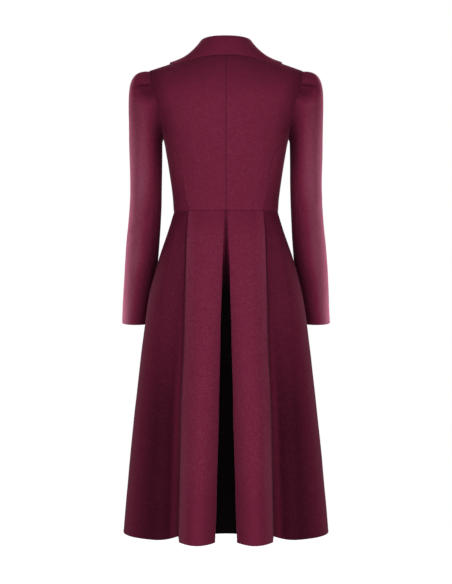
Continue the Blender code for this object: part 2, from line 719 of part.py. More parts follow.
wine_wool = new_material("wine_wool", (0.125, 0.012, 0.034), 0.85)
wine_wool_under = new_material("wine_wool_under", (0.06, 0.005, 0.015), 0.9)
horn = new_material("dark_horn_button", (0.05, 0.012, 0.018), 0.35)

back_bodice(wine_wool)
side_back_bodice(wine_wool)
skirts(wine_wool)
pleat_underlay(wine_wool_under)
sleeves(wine_wool)
collar(wine_wool)
for side in ("left", "right"):
    front_bodice(side, wine_wool)
    lapel(side, wine_wool)
for number, height in enumerate(BUTTON_HEIGHTS, 1):
    button(f"button_{number}", height, horn)
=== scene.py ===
# %% [markdown]
# # A long flared coat in wine wool
# The coat is a close bodice with a wide collar, two sleeves with full heads, and a skirt that flares
# from a seam at the waist. It stands filled out as if somebody wore it. The solids of the coat are
# loaded first as a fixed frame, and every piece that follows is made in that same frame, so that
# nothing has to be fitted by eye.

# %% Load the frame
from collections import namedtuple
from math import acos, asin, atan, cos, exp, hypot, pi, radians, sin, sqrt

import bmesh
import bpy
from mathutils import Matrix, Vector, noise


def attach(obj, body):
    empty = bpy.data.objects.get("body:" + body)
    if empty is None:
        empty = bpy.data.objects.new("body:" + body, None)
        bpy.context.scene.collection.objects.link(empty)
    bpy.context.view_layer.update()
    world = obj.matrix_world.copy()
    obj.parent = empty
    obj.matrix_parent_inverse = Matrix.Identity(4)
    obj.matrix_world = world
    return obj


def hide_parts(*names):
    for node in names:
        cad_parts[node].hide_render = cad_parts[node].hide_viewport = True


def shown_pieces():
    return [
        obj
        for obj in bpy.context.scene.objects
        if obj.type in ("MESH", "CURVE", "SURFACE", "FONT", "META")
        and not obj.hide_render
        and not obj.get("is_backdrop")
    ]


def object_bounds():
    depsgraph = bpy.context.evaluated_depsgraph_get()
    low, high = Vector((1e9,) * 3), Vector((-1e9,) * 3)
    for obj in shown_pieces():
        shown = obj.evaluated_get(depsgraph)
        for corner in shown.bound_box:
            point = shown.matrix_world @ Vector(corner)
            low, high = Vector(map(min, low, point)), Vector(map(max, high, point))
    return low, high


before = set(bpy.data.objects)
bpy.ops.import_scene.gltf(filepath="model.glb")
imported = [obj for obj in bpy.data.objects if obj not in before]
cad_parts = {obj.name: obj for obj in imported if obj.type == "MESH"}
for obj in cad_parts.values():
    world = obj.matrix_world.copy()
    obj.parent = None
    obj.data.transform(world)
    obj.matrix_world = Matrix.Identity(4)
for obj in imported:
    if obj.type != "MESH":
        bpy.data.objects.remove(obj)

scene = bpy.context.scene
cad_box = [list(corner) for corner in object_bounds()]
print("CAD box", cad_box)

# %% [markdown]
# ## The camera
# The picture shows the coat squarely from behind, from about three metres away and from the height
# of its hips. The coat's front faces -Y, so the camera stands on the +Y side. A camera that is set
# by its real distance and by the height that fills the picture gives the same perspective: near
# parts of the hem hang lower in the picture than far ones.

# %% Place the camera
CAMERA_AWAY = 2.9
CAMERA_HEIGHT = -0.590
PICTURE_HEIGHT = 1.460  # metres of the coat's middle plane that fill the picture from top to bottom

camera = bpy.data.objects.new("camera", bpy.data.cameras.new("camera"))
scene.collection.objects.link(camera)
camera.location = (0, CAMERA_AWAY, CAMERA_HEIGHT)
camera.rotation_euler = (radians(90), 0, radians(180))
camera.data.sensor_fit = "VERTICAL"
camera.data.angle = 2 * atan(PICTURE_HEIGHT / 2 / CAMERA_AWAY)
scene.camera = camera
print("camera lens", round(camera.data.lens, 1), "mm")

# %% [markdown]
# ## Colours and nodes
# Colours are written as the hex values that a painting program shows. Blender mixes light in linear
# values, so one function turns the hex into linear colour. A second small function adds a shader
# node together with its settings and its links, which keeps each material readable as a list.

# %% Two helpers for materials
def linear(hex_colour):
    """An sRGB hex colour as linear red, green, blue and full alpha."""
    parts = [int(hex_colour[i : i + 2], 16) / 255 for i in (1, 3, 5)]
    return (*(c / 12.92 if c <= 0.04045 else ((c + 0.055) / 1.055) ** 2.4 for c in parts), 1.0)


def add_node(tree, kind, sockets=None, **settings):
    """Add one node. Settings are its own choices, sockets take a value or another node's output."""
    node = tree.nodes.new(kind)
    for name, value in settings.items():
        setattr(node, name, value)
    for name, value in (sockets or {}).items():
        if isinstance(value, bpy.types.NodeSocket):
            tree.links.new(value, node.inputs[name])
        else:
            node.inputs[name].default_value = value
    return node


def new_material(name):
    """An empty material and its node tree."""
    material = bpy.data.materials.new(name)
    material.use_nodes = True
    material.node_tree.nodes.clear()
    return material, material.node_tree


# %% [markdown]
# ## The studio
# The coat was lit flat and soft in a white studio: two wide soft boxes beside the camera, two more on
# the other side of the coat so that its front isn't left in the dark, and a small strip at each side
# that draws a pale rim along the sleeves. The strips are flagged off the rest of the coat, which has
# no such rim. The background is white for the camera and dimmer as a light. The floor lies where a
# wearer would stand. It is pale, fades into the white and throws no light up at the hem.

# %% Background and floor
STUDIO_FILL = 0.13
FLOOR_Z = -1.42
FLOOR_SOLID, FLOOR_RADIUS = 0.2, 1.6  # the floor fades out between these distances from its middle
FLOOR_SIDES = 96
FLOOR_SPECK = 0.02  # size of the faint specks in its gloss
FLOOR_GLOW = 0.75  # lifts the pale paint to the white of the background

world = bpy.data.worlds.new("white_studio")
world.use_nodes = True
world.node_tree.nodes.clear()
tree = world.node_tree
seen = add_node(tree, "ShaderNodeLightPath")
white = add_node(tree, "ShaderNodeBackground", {"Color": linear("#ffffff"), "Strength": 1.0})
fill = add_node(tree, "ShaderNodeBackground", {"Color": linear("#fbf8f9"), "Strength": STUDIO_FILL})
both = add_node(tree, "ShaderNodeMixShader",
                {0: seen.outputs["Is Camera Ray"], 1: fill.outputs[0], 2: white.outputs[0]})
add_node(tree, "ShaderNodeOutputWorld", {"Surface": both.outputs[0]})
scene.world = world
scene.view_settings.view_transform = "Standard"

floor_paint, tree = new_material("pale_studio_floor")
place = add_node(tree, "ShaderNodeTexCoord")
away = add_node(tree, "ShaderNodeVectorMath", {0: place.outputs["Object"]}, operation="LENGTH")
fade = add_node(tree, "ShaderNodeMapRange",
                {"Value": away.outputs["Value"], "From Min": FLOOR_SOLID, "From Max": FLOOR_RADIUS},
                interpolation_type="SMOOTHSTEP")
speck = add_node(tree, "ShaderNodeTexNoise", {"Vector": place.outputs["Object"], "Scale": 1 / FLOOR_SPECK})
rough = add_node(tree, "ShaderNodeMapRange",
                 {"Value": speck.outputs["Fac"], "To Min": 0.75, "To Max": 0.9})
paint = add_node(tree, "ShaderNodeBsdfPrincipled",
                 {"Base Color": linear("#f4f2f1"), "Roughness": rough.outputs[0],
                  "Emission Color": linear("#ffffff"), "Emission Strength": FLOOR_GLOW})
clear = add_node(tree, "ShaderNodeBsdfTransparent")
faded = add_node(tree, "ShaderNodeMixShader",
                 {0: fade.outputs[0], 1: paint.outputs[0], 2: clear.outputs[0]})
add_node(tree, "ShaderNodeOutputMaterial", {"Surface": faded.outputs[0]})

bm = bmesh.new()
bmesh.ops.create_circle(bm, cap_ends=True, radius=FLOOR_RADIUS, segments=FLOOR_SIDES)
floor_mesh = bpy.data.meshes.new("studio_floor")
bm.to_mesh(floor_mesh)
bm.free()
floor = bpy.data.objects.new("studio_floor", floor_mesh)
floor_mesh.materials.append(floor_paint)
floor.location.z = FLOOR_Z
floor.visible_diffuse = False  # it shows, but throws no light up at the hem
scene.collection.objects.link(floor)
floor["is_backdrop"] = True
print("floor", round(FLOOR_Z - cad_box[0][2], 3), "m from the hem")

# %% Soft boxes and rim strips
SIDES = {"left": 1, "right": -1}  # the wearer's left is +X
Lamp = namedtuple("Lamp", "name x y z width height power spread aim_z")
LAMPS = (  # each stands on both sides
    Lamp("soft_box", 0.5, 3.0, -0.45, 0.9, 1.4, 40.0, 180, -0.55),
    Lamp("rim_strip", 1.15, -0.5, -0.62, 0.3, 0.6, 5.0, 100, -0.62),
    Lamp("front_box", 2.1, -1.5, -0.2, 1.2, 1.6, 32.0, 180, -0.5),
)
strip_lit = bpy.data.collections.new("lit_by_the_strips")


def add_lamp(lamp, name, sign):
    """An area light on one side, aimed at the middle line of the coat."""
    light = bpy.data.lights.new(name, "AREA")
    light.shape = "RECTANGLE"
    light.size, light.size_y = lamp.width, lamp.height
    light.energy = lamp.power
    light.spread = radians(lamp.spread)
    holder = bpy.data.objects.new(name, light)
    scene.collection.objects.link(holder)
    holder.location = (sign * lamp.x, lamp.y, lamp.z)
    aim = Vector((0, 0, lamp.aim_z)) - holder.location
    holder.rotation_euler = aim.to_track_quat("-Z", "Y").to_euler()
    return holder


for lamp in LAMPS:
    for side, sign in SIDES.items():
        holder = add_lamp(lamp, f"{lamp.name}_{side}", sign)
        if lamp.name == "rim_strip":
            holder.light_linking.receiver_collection = strip_lit
print(len(LAMPS) * len(SIDES), "soft lights")

# %% [markdown]
# ## The wool
# The cloth is brushed wool, woven, fulled and raised so that a short nap hides the weave. The eye sees
# a matt, deep colour, a faint mottle where the fibres lie differently, and a pale bloom where the
# nap is seen edge on. Roughness is near the top, the mottle and the nap come from noise at the size
# of tufts, and sheen gives the bloom. Each piece also stores painted light and shade, point by point:
# below 0 a painted highlight makes it paler, at 1 a painted shade makes it deeper. On the side panels
# and the under sleeves the nap was pressed flat and has hardly any bloom, and on the upper sleeves it
# was raised and has more. The back of the cloth isn't brushed and is darker.

# %% Brushed wool
TUFT = 0.0038  # a tuft of nap is near 1 mm, drawn coarser because a pixel is 2.5 mm
UNEVEN = 0.72  # how much the mottle moves the shade of the nap
PATCHY = 0.2  # share of the wider patches in the mottle
BRUSH = 0.016  # width of the patches that a brush leaves
FIBRE, FIBRE_RISE = 0.0011, 0.0006  # width and height of the fibres in the relief
GRAIN = (0.7, 0.7, 1)  # tufts and patches are a little wider than they are high


def brushed_wool(name, highlight_colour, light, deep, bloom, sheen, relief=0.35):
    """Wool in its painted highlight, its own colour and its painted shade, and the tint of its bloom."""
    material, tree = new_material(name)
    place = add_node(tree, "ShaderNodeTexCoord")
    along = add_node(tree, "ShaderNodeMapping", {"Vector": place.outputs["Object"], "Scale": GRAIN})
    tufts = add_node(tree, "ShaderNodeTexNoise",
                     {"Vector": along.outputs[0], "Scale": 1 / TUFT, "Detail": 3.0, "Roughness": 0.6})
    patches = add_node(tree, "ShaderNodeTexNoise",
                       {"Vector": along.outputs[0], "Scale": 1 / BRUSH, "Detail": 2.0})
    mottle = add_node(tree, "ShaderNodeMath",
                      {0: patches.outputs["Fac"], 1: PATCHY, 2: tufts.outputs["Fac"]},
                      operation="MULTIPLY_ADD")
    # the painted light of each point: below 0 a painted highlight, up to 1 a painted shade
    nap = add_node(tree, "ShaderNodeAttribute", attribute_name="nap")
    uneven = add_node(tree, "ShaderNodeMath", {0: mottle.outputs[0], 1: UNEVEN, 2: nap.outputs["Fac"]},
                      operation="MULTIPLY_ADD")
    even = UNEVEN * (1 + PATCHY) / 2  # the mean of the mottle is taken off again
    share = add_node(tree, "ShaderNodeMath", {0: uneven.outputs[0], 1: even}, operation="SUBTRACT")
    # the wool's own colour, darkened towards its painted shade
    with_painted_shade = add_node(tree, "ShaderNodeMix", {0: share.outputs[0], 6: linear(light), 7: linear(deep)},
                     data_type="RGBA")
    # and lightened towards its painted highlight
    painted_highlight = add_node(tree, "ShaderNodeMath", {0: share.outputs[0], 1: -1.0}, operation="MULTIPLY")
    colour = add_node(tree, "ShaderNodeMix", {0: painted_highlight.outputs[0], 6: with_painted_shade.outputs[2], 7: linear(highlight_colour)},
                      data_type="RGBA")
    fibres = add_node(tree, "ShaderNodeTexNoise",
                      {"Vector": along.outputs[0], "Scale": 1 / FIBRE, "Detail": 4.0, "Roughness": 0.7})
    bump = add_node(tree, "ShaderNodeBump",
                    {"Height": fibres.outputs["Fac"], "Strength": relief, "Distance": FIBRE_RISE})
    rough = add_node(tree, "ShaderNodeMapRange",
                     {"Value": tufts.outputs["Fac"], "To Min": 0.82, "To Max": 0.95})
    shader = add_node(tree, "ShaderNodeBsdfPrincipled",
                      {"Base Color": colour.outputs[2], "Roughness": rough.outputs[0], "IOR": 1.45,
                       "Specular IOR Level": 0.06, "Sheen Weight": sheen, "Sheen Roughness": 0.3,
                       "Sheen Tint": linear(bloom), "Normal": bump.outputs[0]})
    add_node(tree, "ShaderNodeOutputMaterial", {"Surface": shader.outputs[0]})
    return material


SHADES = ("#8c4a60", "#6c2039", "#380a1c", "#d6809a")  # painted highlight, the wool's own colour, painted shade, and the bloom
BACK_SHADES = ("#4a1a2a", "#38101e", "#22080f", "#8a4a60")
# the wool inside the pleat with its shadow painted in: its own colour where light reaches in, then dark
# wine, then all but black
PLEAT_PAINTED_SHADOW = ("#6c2039", "#340619", "#030102", "#5a2a3a")
wool = brushed_wool("brushed_wine_wool", *SHADES, sheen=0.42)
wool_flat = brushed_wool("pressed_wine_wool", *SHADES, sheen=0.1)
wool_raised = brushed_wool("raised_wine_wool", *SHADES, sheen=0.8)
wool_back = brushed_wool("unbrushed_back_of_wine_wool", *BACK_SHADES, sheen=0.02, relief=0.5)
wool_painted_pleat_shadow = brushed_wool("wine_wool_painted_with_pleat_shadow", *PLEAT_PAINTED_SHADOW, sheen=0.0)
print("wools", [m.name for m in bpy.data.materials if "wool" in m.name])

# %% [markdown]
# ## Reading the cut
# A tailor draws a coat from a few measures at chosen heights and joins them with smooth curves. The
# tables here do the same, in millimetres: each row is a height, each column a measure, and one
# function reads a column at any height on a curve that passes through every row.

# %% Smooth curves through tables
MM = 0.001
WAIST_Z = -392.0
HEM_Z = -1187.0
UNDERARM_Z = -207.0
NECK_X = 75.0  # where the shoulder seam meets the neck
NECK_ROUND = 40.0  # the slope levels out within this distance of the centre
NAPE_Z = -4.0
TIP_X, TIP_Z = 192.0, -38.5  # outer end of the shoulder seam
OVERLAP = 25.0  # how far each front passes the centre line
BREAK_Z = -262.0  # where the lapel starts to roll
Edge = namedtuple("Edge", "z x")


def smooth(table, along="z"):
    """A reader for a table: it gives a column at a place, on a smooth curve through the rows."""
    rows = sorted(table, key=lambda row: getattr(row, along))
    places = [getattr(row, along) for row in rows]
    columns = {name: [getattr(row, name) for row in rows] for name in rows[0]._fields}

    def read(place, column):
        values = columns[column]
        place = min(max(place, places[0]), places[-1])
        i = max(k for k in range(len(rows) - 1) if places[k] <= place)

        def slope(k):
            low, high = max(k - 1, 0), min(k + 1, len(rows) - 1)
            return (values[high] - values[low]) / (places[high] - places[low])

        span = places[i + 1] - places[i]
        t = (place - places[i]) / span
        ease = t * t * (3 - 2 * t)
        bend = t * (1 - t) ** 2 * span * slope(i) - t * t * (1 - t) * span * slope(i + 1)
        return values[i] * (1 - ease) + values[i + 1] * ease + bend

    return read


def straight(table, z):
    """Read an edge at a height along straight lines between its rows."""
    for low, high in zip(table, table[1:]):
        if z <= high.z:
            break
    t = min(max((z - low.z) / (high.z - low.z), 0.0), 1.0)
    return low.x + (high.x - low.x) * t


def soft_step(low, high, value):
    """0 below one value and 1 above another, with a soft rise between them."""
    t = min(max((value - low) / (high - low), 0.0), 1.0)
    return t * t * (3 - 2 * t)


def bezier(start, control, end, t):
    """A point on a curve from start to end that is drawn towards a control point."""
    return start * (1 - t) ** 2 + control * 2 * t * (1 - t) + end * t * t


def steps(first, last, count):
    """Evenly spaced values from the first to the last."""
    return [first + (last - first) * k / count for k in range(count + 1)]


# %% [markdown]
# ## Creases
# Wool of this weight falls almost smooth, and what creases it has are soft and uneven. They are listed:
# each row is a line on the coat as seen from behind or from in front, with the width of the fold and
# its height, below zero for a trough. A slow unevenness of under a millimetre keeps the long panels
# from looking machined. Near a seam all this fades out, because the stitching holds the cloth.

# %% A table of creases
Crease = namedtuple("Crease", "face x0 z0 x1 z1 width height")
BEHIND, BEFORE = 1, -1
CREASES = {
    "upper_sleeve": [
        Crease(BEHIND, 184, -79, 238, -86, 1.7, -2.0),
        Crease(BEHIND, 186, -69, 222, -71, 8.0, 2.0),
        Crease(BEHIND, 186, -92, 214, -97, 11.0, -3.0),
        Crease(BEFORE, 184, -79, 232, -85, 1.7, -2.0),
        Crease(BEFORE, 186, -100, 212, -106, 11.0, -2.4),
    ],
    "upper_sleeve_left": [
        Crease(BEHIND, 190, -240, 214, -372, 12.0, -2.4),
        Crease(BEHIND, 206, -180, 228, -330, 15.0, 1.8),
        Crease(BEHIND, 182, -398, 226, -436, 8.0, -1.8),
        Crease(BEHIND, 186, -424, 232, -470, 10.0, 1.5),
        Crease(BEFORE, 170, -352, 226, -388, 9.0, -2.6),
        Crease(BEFORE, 172, -402, 230, -412, 9.0, -2.2),
        Crease(BEFORE, 176, -376, 226, -398, 8.0, 1.6),
    ],
    "upper_sleeve_right": [
        Crease(BEHIND, -192, -222, -210, -360, 13.0, -2.2),
        Crease(BEHIND, -212, -196, -230, -352, 14.0, 1.7),
        Crease(BEHIND, -184, -384, -224, -428, 9.0, -1.9),
        Crease(BEHIND, -188, -430, -234, -462, 9.0, 1.3),
        Crease(BEFORE, -172, -346, -222, -396, 9.0, -2.5),
        Crease(BEFORE, -176, -410, -232, -408, 8.0, -2.0),
        Crease(BEFORE, -178, -380, -228, -386, 8.0, 1.7),
    ],
    "back_bodice_left": [
        Crease(BEHIND, 62, -150, 84, -236, 34.0, 1.6),
        Crease(BEHIND, 20, -372, 70, -378, 9.0, 0.8),
        Crease(BEHIND, 118, -110, 150, -150, 13.0, -1.2),
    ],
    "back_bodice_right": [
        Crease(BEHIND, -60, -158, -86, -228, 32.0, 1.7),
        Crease(BEHIND, -16, -376, -58, -372, 8.0, 0.7),
        Crease(BEHIND, -122, -104, -148, -158, 12.0, -1.3),
    ],
    "side_skirt_left": [
        Crease(BEHIND, 152, -640, 182, -1180, 17.0, -2.6),
        Crease(BEHIND, 196, -700, 232, -1180, 18.0, 1.6),
    ],
    "side_skirt_right": [
        Crease(BEHIND, -150, -600, -186, -1180, 19.0, -2.4),
        Crease(BEHIND, -192, -760, -228, -1180, 16.0, 1.8),
    ],
    "front_skirt_left": [
        Crease(BEFORE, 74, -470, 96, -1180, 26.0, 4.0),
        Crease(BEFORE, 112, -520, 150, -1180, 22.0, -4.5),
        Crease(BEFORE, 150, -600, 204, -1180, 20.0, 3.2),
    ],
    "front_skirt_right": [
        Crease(BEFORE, -66, -500, -88, -1180, 25.0, 3.6),
        Crease(BEFORE, -104, -480, -142, -1180, 24.0, -4.8),
        Crease(BEFORE, -158, -560, -208, -1180, 18.0, 3.0),
    ],
    "front_bodice_left": [Crease(BEFORE, 96, -300, 128, -232, 16.0, -1.8)],
    "front_bodice_right": [Crease(BEFORE, -92, -312, -130, -238, 15.0, -1.6)],
}
for crease in CREASES.pop("upper_sleeve"):  # the tuck of the head is the same on both sleeves
    CREASES["upper_sleeve_left"].append(crease)
    CREASES["upper_sleeve_right"].append(crease._replace(x0=-crease.x0, x1=-crease.x1))

SHARP = 3.0  # a crease narrower than this is pressed, gets a painted shade line and runs out at its far end
SHARP_DARK = 0.75
SHARP_RUN = 0.45  # share of its length where it starts to run out
FACING = (-0.1, 0.35)  # a crease fades where the cloth turns away from its side, between these directions
SLOW_WIDTH, SLOW_HEIGHT = 95, 0.9  # the slow unevenness
FINE_WIDTH, FINE_HEIGHT, FINE_SHIFT = 38, 0.25, Vector((7, 3, 1))  # and a finer one laid over it


def crease_height(name, point, direction):
    """How far the cloth moves off its plain form at a point, in millimetres, and the painted shade there.
    """
    dark = 0.0
    height = noise.noise(point / SLOW_WIDTH) * SLOW_HEIGHT
    height += noise.noise(point / FINE_WIDTH + FINE_SHIFT) * FINE_HEIGHT
    for crease in CREASES.get(name, ()):
        facing = direction.y * crease.face
        if facing < FACING[0]:
            continue
        run, rise = crease.x1 - crease.x0, crease.z1 - crease.z0
        t = ((point.x - crease.x0) * run + (point.z - crease.z0) * rise) / (run * run + rise * rise)
        held = min(max(t, 0.0), 1.0)
        off = hypot(point.x - crease.x0 - run * held, point.z - crease.z0 - rise * held)
        share = exp(-((off / crease.width) ** 2)) * soft_step(*FACING, facing)
        if crease.width < SHARP:
            share *= 1 - soft_step(SHARP_RUN, 1.0, t)
            # the painted shade line of a sharp crease
            dark = max(dark, SHARP_DARK * share)
        height += crease.height * share
    return height, dark


print(sum(len(rows) for rows in CREASES.values()), "creases")

# %% [markdown]
# ## A wall of cloth
# Every piece is cut from cloth about two millimetres thick, so each is a closed thin wall: a fine grid of
# points is its face, the same grid moved in by the thickness is its back. At a seam the cloth turns
# in, and two rounded edges side by side make the fine dark line that a sewn seam shows, deepened by a
# painted shade line along it. Where two pieces meet in one pressed line, the border is joined and
# doesn't turn in. Each wall takes the place of a solid of the frame, which it hides, and the size of
# its cut is measured along the cloth itself.

# %% Make one sewn piece
CLOTH = 2.0
SEAM_GAP = 0.3
SEAM_LINE, SEAM_DARK = 1.0, 0.7  # half the width of the painted shade line along a seam, and its depth
ALL_ROUND = ("first_column", "last_column", "first_row", "last_row")
TURN = 1.5  # radius of the edge that turns in at a seam
FACE_TURN, BACK_TURN = 0.85, 0.15  # how much of that turn the face and the back take
EDGE_STEPS = (0.0, 0.3, 0.8, 1.5, 2.6)  # a border and extra lines of points beside it
EDGE_SHARE = 0.85  # they stay within this share of the first step of the grid
HELD = 7.0  # creases fade out over this distance from a seam
SHARP_EDGE = radians(55)
pieces = {}
cuts = {}


def outward(grid, towards, at=(-1, -1), wrap=False):
    """Directions square to a grid of points, turned so that the one at a given place faces towards."""
    rows, columns = len(grid), len(grid[0])
    directions = []
    for r in range(rows):
        line = []
        for c in range(columns):
            left = c - 1 if c or wrap else c
            right = (c + 1) % columns if wrap else min(c + 1, columns - 1)
            along = (grid[r][right] - grid[r][c]).normalized() + (grid[r][c] - grid[r][left]).normalized()
            down = grid[min(r + 1, rows - 1)][c] - grid[max(r - 1, 0)][c]
            line.append(along.cross(down).normalized())
        directions.append(line)
    if directions[at[0]][at[1]].dot(Vector(towards)) < 0:
        directions = [[-n for n in line] for line in directions]
    return directions


def with_edge_lines(grid, directions):
    """Add lines of points to a grid beside its first and last columns."""
    points_out, directions_out = [], []
    for line, turns in zip(grid, directions):
        ends = []
        for edge, inner in ((0, 1), (-1, -2)):
            step = line[inner] - line[edge]
            reach = max(step.length, 1e-6)
            limits = [EDGE_SHARE * (k + 1) / len(EDGE_STEPS) for k in range(len(EDGE_STEPS))]
            shares = [min(d / reach, limit) for d, limit in zip(EDGE_STEPS, limits)]
            points = [line[edge].lerp(line[inner], s) for s in shares]
            ends.append(list(zip(points, [turns[edge].lerp(turns[inner], s) for s in shares])))
        row = ends[0] + list(zip(line[1:-1], turns[1:-1])) + ends[1][::-1]
        points_out.append([p for p, n in row])
        directions_out.append([n.normalized() for p, n in row])
    return points_out, directions_out


def turned(grid):
    """Rows as columns and columns as rows."""
    return [list(line) for line in zip(*grid)]


def border_distances(grid):
    """Distances of each point from the first and from the last point of its line."""
    from_first, from_last = [], []
    for line in grid:
        runs = [0.0]
        for a, b in zip(line, line[1:]):
            runs.append(runs[-1] + (b - a).length)
        from_first.append(runs)
        from_last.append([runs[-1] - run for run in runs])
    return from_first, from_last


def edge_drop(distance, radius):
    """How far a rounded edge lies below the face at a distance from the border."""
    if distance >= radius:
        return 0.0
    return radius - sqrt(radius**2 - (radius - distance) ** 2)


def cloth_points(node, grid, directions, thickness, turn, seams, joined, nap):
    """Points of the face and of the back of a wall, and the painted light and shade on the face."""
    runs = (*border_distances(grid), *map(turned, border_distances(turned(grid))))
    borders = dict(zip(ALL_ROUND, runs))
    face, back, shades = [], [], []
    for r, (points, turns) in enumerate(zip(grid, directions)):
        for c, (point, direction) in enumerate(zip(points, turns)):
            away = {name: distances[r][c] for name, distances in borders.items()}
            height, dark = crease_height(node, point, direction)
            height *= soft_step(0, HELD, min(away.values()))
            turns_in = min(away[name] for name in ALL_ROUND if name not in joined)
            drop = edge_drop(turns_in, turn) * FACE_TURN
            face.append((point + direction * (height - drop)) * MM)
            back.append((point + direction * (height - thickness + drop * BACK_TURN)) * MM)
            sewn = min([away[name] for name in seams], default=SEAM_LINE)
            # the painted light of the point, with the painted shade lines of sharp creases and seams laid
            # over it
            lies = nap(point, away["first_column"]) if nap else 0.0
            dark = max(dark, SEAM_DARK * (1 - soft_step(SEAM_LINE / 3, SEAM_LINE, sewn)))
            shades.append(lies + dark * (1 - lies))
    return face, back, shades


def wall_faces(rows, columns):
    """Faces of a closed wall between two grids, each marked 0 on the face and the edge, 1 on the back."""
    total = rows * columns
    faces, kinds = [], []
    for r in range(rows - 1):
        for c in range(columns - 1):
            corner = r * columns + c
            quad = (corner, corner + 1, corner + columns + 1, corner + columns)
            faces += [quad, tuple(k + total for k in quad[::-1])]
            kinds += [0, 1]
    border = list(range(columns)) + [r * columns + columns - 1 for r in range(1, rows)]
    border += [(rows - 1) * columns + c for c in range(columns - 2, -1, -1)]
    border += [r * columns for r in range(rows - 2, 0, -1)]
    for a, b in zip(border, border[1:] + border[:1]):
        faces.append((b, a, a + total, b + total))
        kinds.append(0)
    return faces, kinds


def line_length(line):
    """Length of a line of points."""
    return sum((b - a).length for a, b in zip(line, line[1:]))


def longest_line(grid):
    """Length of the longest line of a grid in millimetres, in metres."""
    return max(line_length(line) for line in grid) * MM


def sew_piece(node, grid, directions, face, held, rests_on=(), thickness=CLOTH, turn=TURN, seams=(),
              joined=(), nap=None):
    """One wall of cloth for a node of the frame, from a grid in millimetres.

    A painted shade line runs along the borders in seams, and those in joined don't turn in. The last
    function gives the painted light from a point and its distance from the first column.
    """
    grid, directions = with_edge_lines(grid, directions)
    grid, directions = (turned(g) for g in with_edge_lines(turned(grid), turned(directions)))
    outer, inner, shades = cloth_points(node, grid, directions, thickness, turn, seams, joined, nap)
    faces, kinds = wall_faces(len(grid), len(grid[0]))
    mesh = bpy.data.meshes.new(f"{node}_cloth")
    mesh.from_pydata(outer + inner, [], faces)
    mesh.materials.append(face)
    mesh.materials.append(wool_back)
    mesh.polygons.foreach_set("material_index", kinds)
    # the painted light and shade of the face, read by the wool's shader
    mesh.attributes.new("nap", "FLOAT", "POINT").data.foreach_set("value", shades + [0.0] * len(inner))
    bm = bmesh.new()
    bm.from_mesh(mesh)
    bmesh.ops.recalc_face_normals(bm, faces=bm.faces)
    bm.to_mesh(mesh)
    bm.free()
    mesh.shade_smooth()
    mesh.set_sharp_from_angle(angle=SHARP_EDGE)
    piece = bpy.data.objects.new(f"{node}_cloth", mesh)
    scene.collection.objects.link(piece)
    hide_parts(node)
    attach(piece, "root")
    width, length = longest_line(grid), longest_line(turned(grid))
    area = sum(p.area for p in mesh.polygons if p.material_index == 0)
    pieces[node] = piece
    cuts[node] = (round(width, 3), round(length, 3), round(area, 4))


def mirror(grid):
    """The same grid on the other side of the middle plane."""
    return [[Vector((-p.x, p.y, p.z)) for p in line] for line in grid]


def sew_side(name, side, grid, directions, face, held, rests_on, **how):
    """One piece of a pair, from the grid of the left one, which is mirrored for the right."""
    if side == "right":
        grid, directions = mirror(grid), mirror(directions)
    sew_piece(f"{name}_{side}", grid, directions, face, held, [f"{n}_{side}" for n in rests_on], **how)


def report_cut(*names):
    """Print the measured cut of some pieces."""
    for name in names:
        print(name, "cut", cuts[name][:2], "m, area", cuts[name][2])


# %% [markdown]
# ## The back of the bodice
# The back is cut in two halves with a seam down the middle, and a curved seam from each armhole to the
# waist that takes the cloth in. The body is a rounded section at each height that closes over the
# shoulders, so a point is found from its height and its distance from the middle.

# %% The form of the bodice
ROUND = 2.3  # squareness of the section, 2 is an ellipse
BACK_SHOULDER = 105.0  # height over which the back rounds into the shoulder seam
FRONT_SHOULDER = 150.0
ON_SEAM, ON_SEAM_FROM = 1.5, UNDERARM_Z + 40  # a point this near its plane and above this is on the seam
Body = namedtuple("Body", "z half_width back front")
BODY = [
    Body(WAIST_Z, 130.0, 90.0, 94.0),
    Body(-355.0, 132.5, 94.0, 103.0),
    Body(-302.0, 140.0, 102.0, 118.0),
    Body(-252.0, 148.0, 111.0, 130.0),
    Body(UNDERARM_Z, 157.0, 117.0, 130.0),
    Body(-172.0, 171.5, 120.0, 125.0),
    Body(-142.0, 182.0, 121.0, 119.0),
    Body(-117.0, 192.0, 120.5, 114.0),
    Body(-76.0, 206.0, 117.0, 108.0),
    Body(-40.0, 218.0, 114.0, 102.0),
    Body(30.0, 232.0, 108.0, 96.0),
]
body = smooth(BODY)


def shoulder_height(x):
    """Height of the shoulder seam at a distance from the centre, carried on round across the neck."""
    out = abs(x)
    if out < NECK_ROUND:
        out += NECK_ROUND / 2 * (1 - out / NECK_ROUND) ** 2
    return (out - NECK_X) * TIP_Z / (TIP_X - NECK_X)


def bodice_y(x, z, face):
    """Depth of the outer face of the bodice, behind or before."""
    rounding = BACK_SHOULDER if face > 0 else FRONT_SHOULDER
    below = min(max((shoulder_height(x) - z) / rounding, 0.0), 1.0)
    over = sqrt(1 - (1 - below) ** 2)
    across = max(1 - (abs(x) / body(z, "half_width")) ** ROUND, 0.0) ** (1 / ROUND)
    return face * max(body(z, "back" if face > 0 else "front") * over * across, SEAM_GAP / 2)


def bodice_directions(grid, face):
    """Directions of a bodice piece. On the shoulder seam they point straight up off the slope."""
    directions = outward(grid, (0, face, 0), at=(len(grid) // 3, len(grid[0]) // 3))
    up = Vector((-TIP_Z / (TIP_X - NECK_X), 0, 1)).normalized()
    for line, turns in zip(grid, directions):
        for c, point in enumerate(line):
            if abs(point.y) < ON_SEAM and point.z > ON_SEAM_FROM:
                turns[c] = Vector((up.x if point.x > 0 else -up.x, 0, up.z))
    return directions


def armhole_heights(start, count):
    """Heights up the armhole, closer together where it turns."""
    middle, reach = (UNDERARM_Z + TIP_Z) / 2, (TIP_Z - UNDERARM_Z) / 2
    first = acos((middle - start) / reach)
    return [middle - reach * cos(turn) for turn in steps(first, pi, count)]


waist, chest = (2 * body(z, "half_width") for z in (WAIST_Z, UNDERARM_Z))
print("bodice", waist, "mm across at the waist and", chest, "mm under the arms")

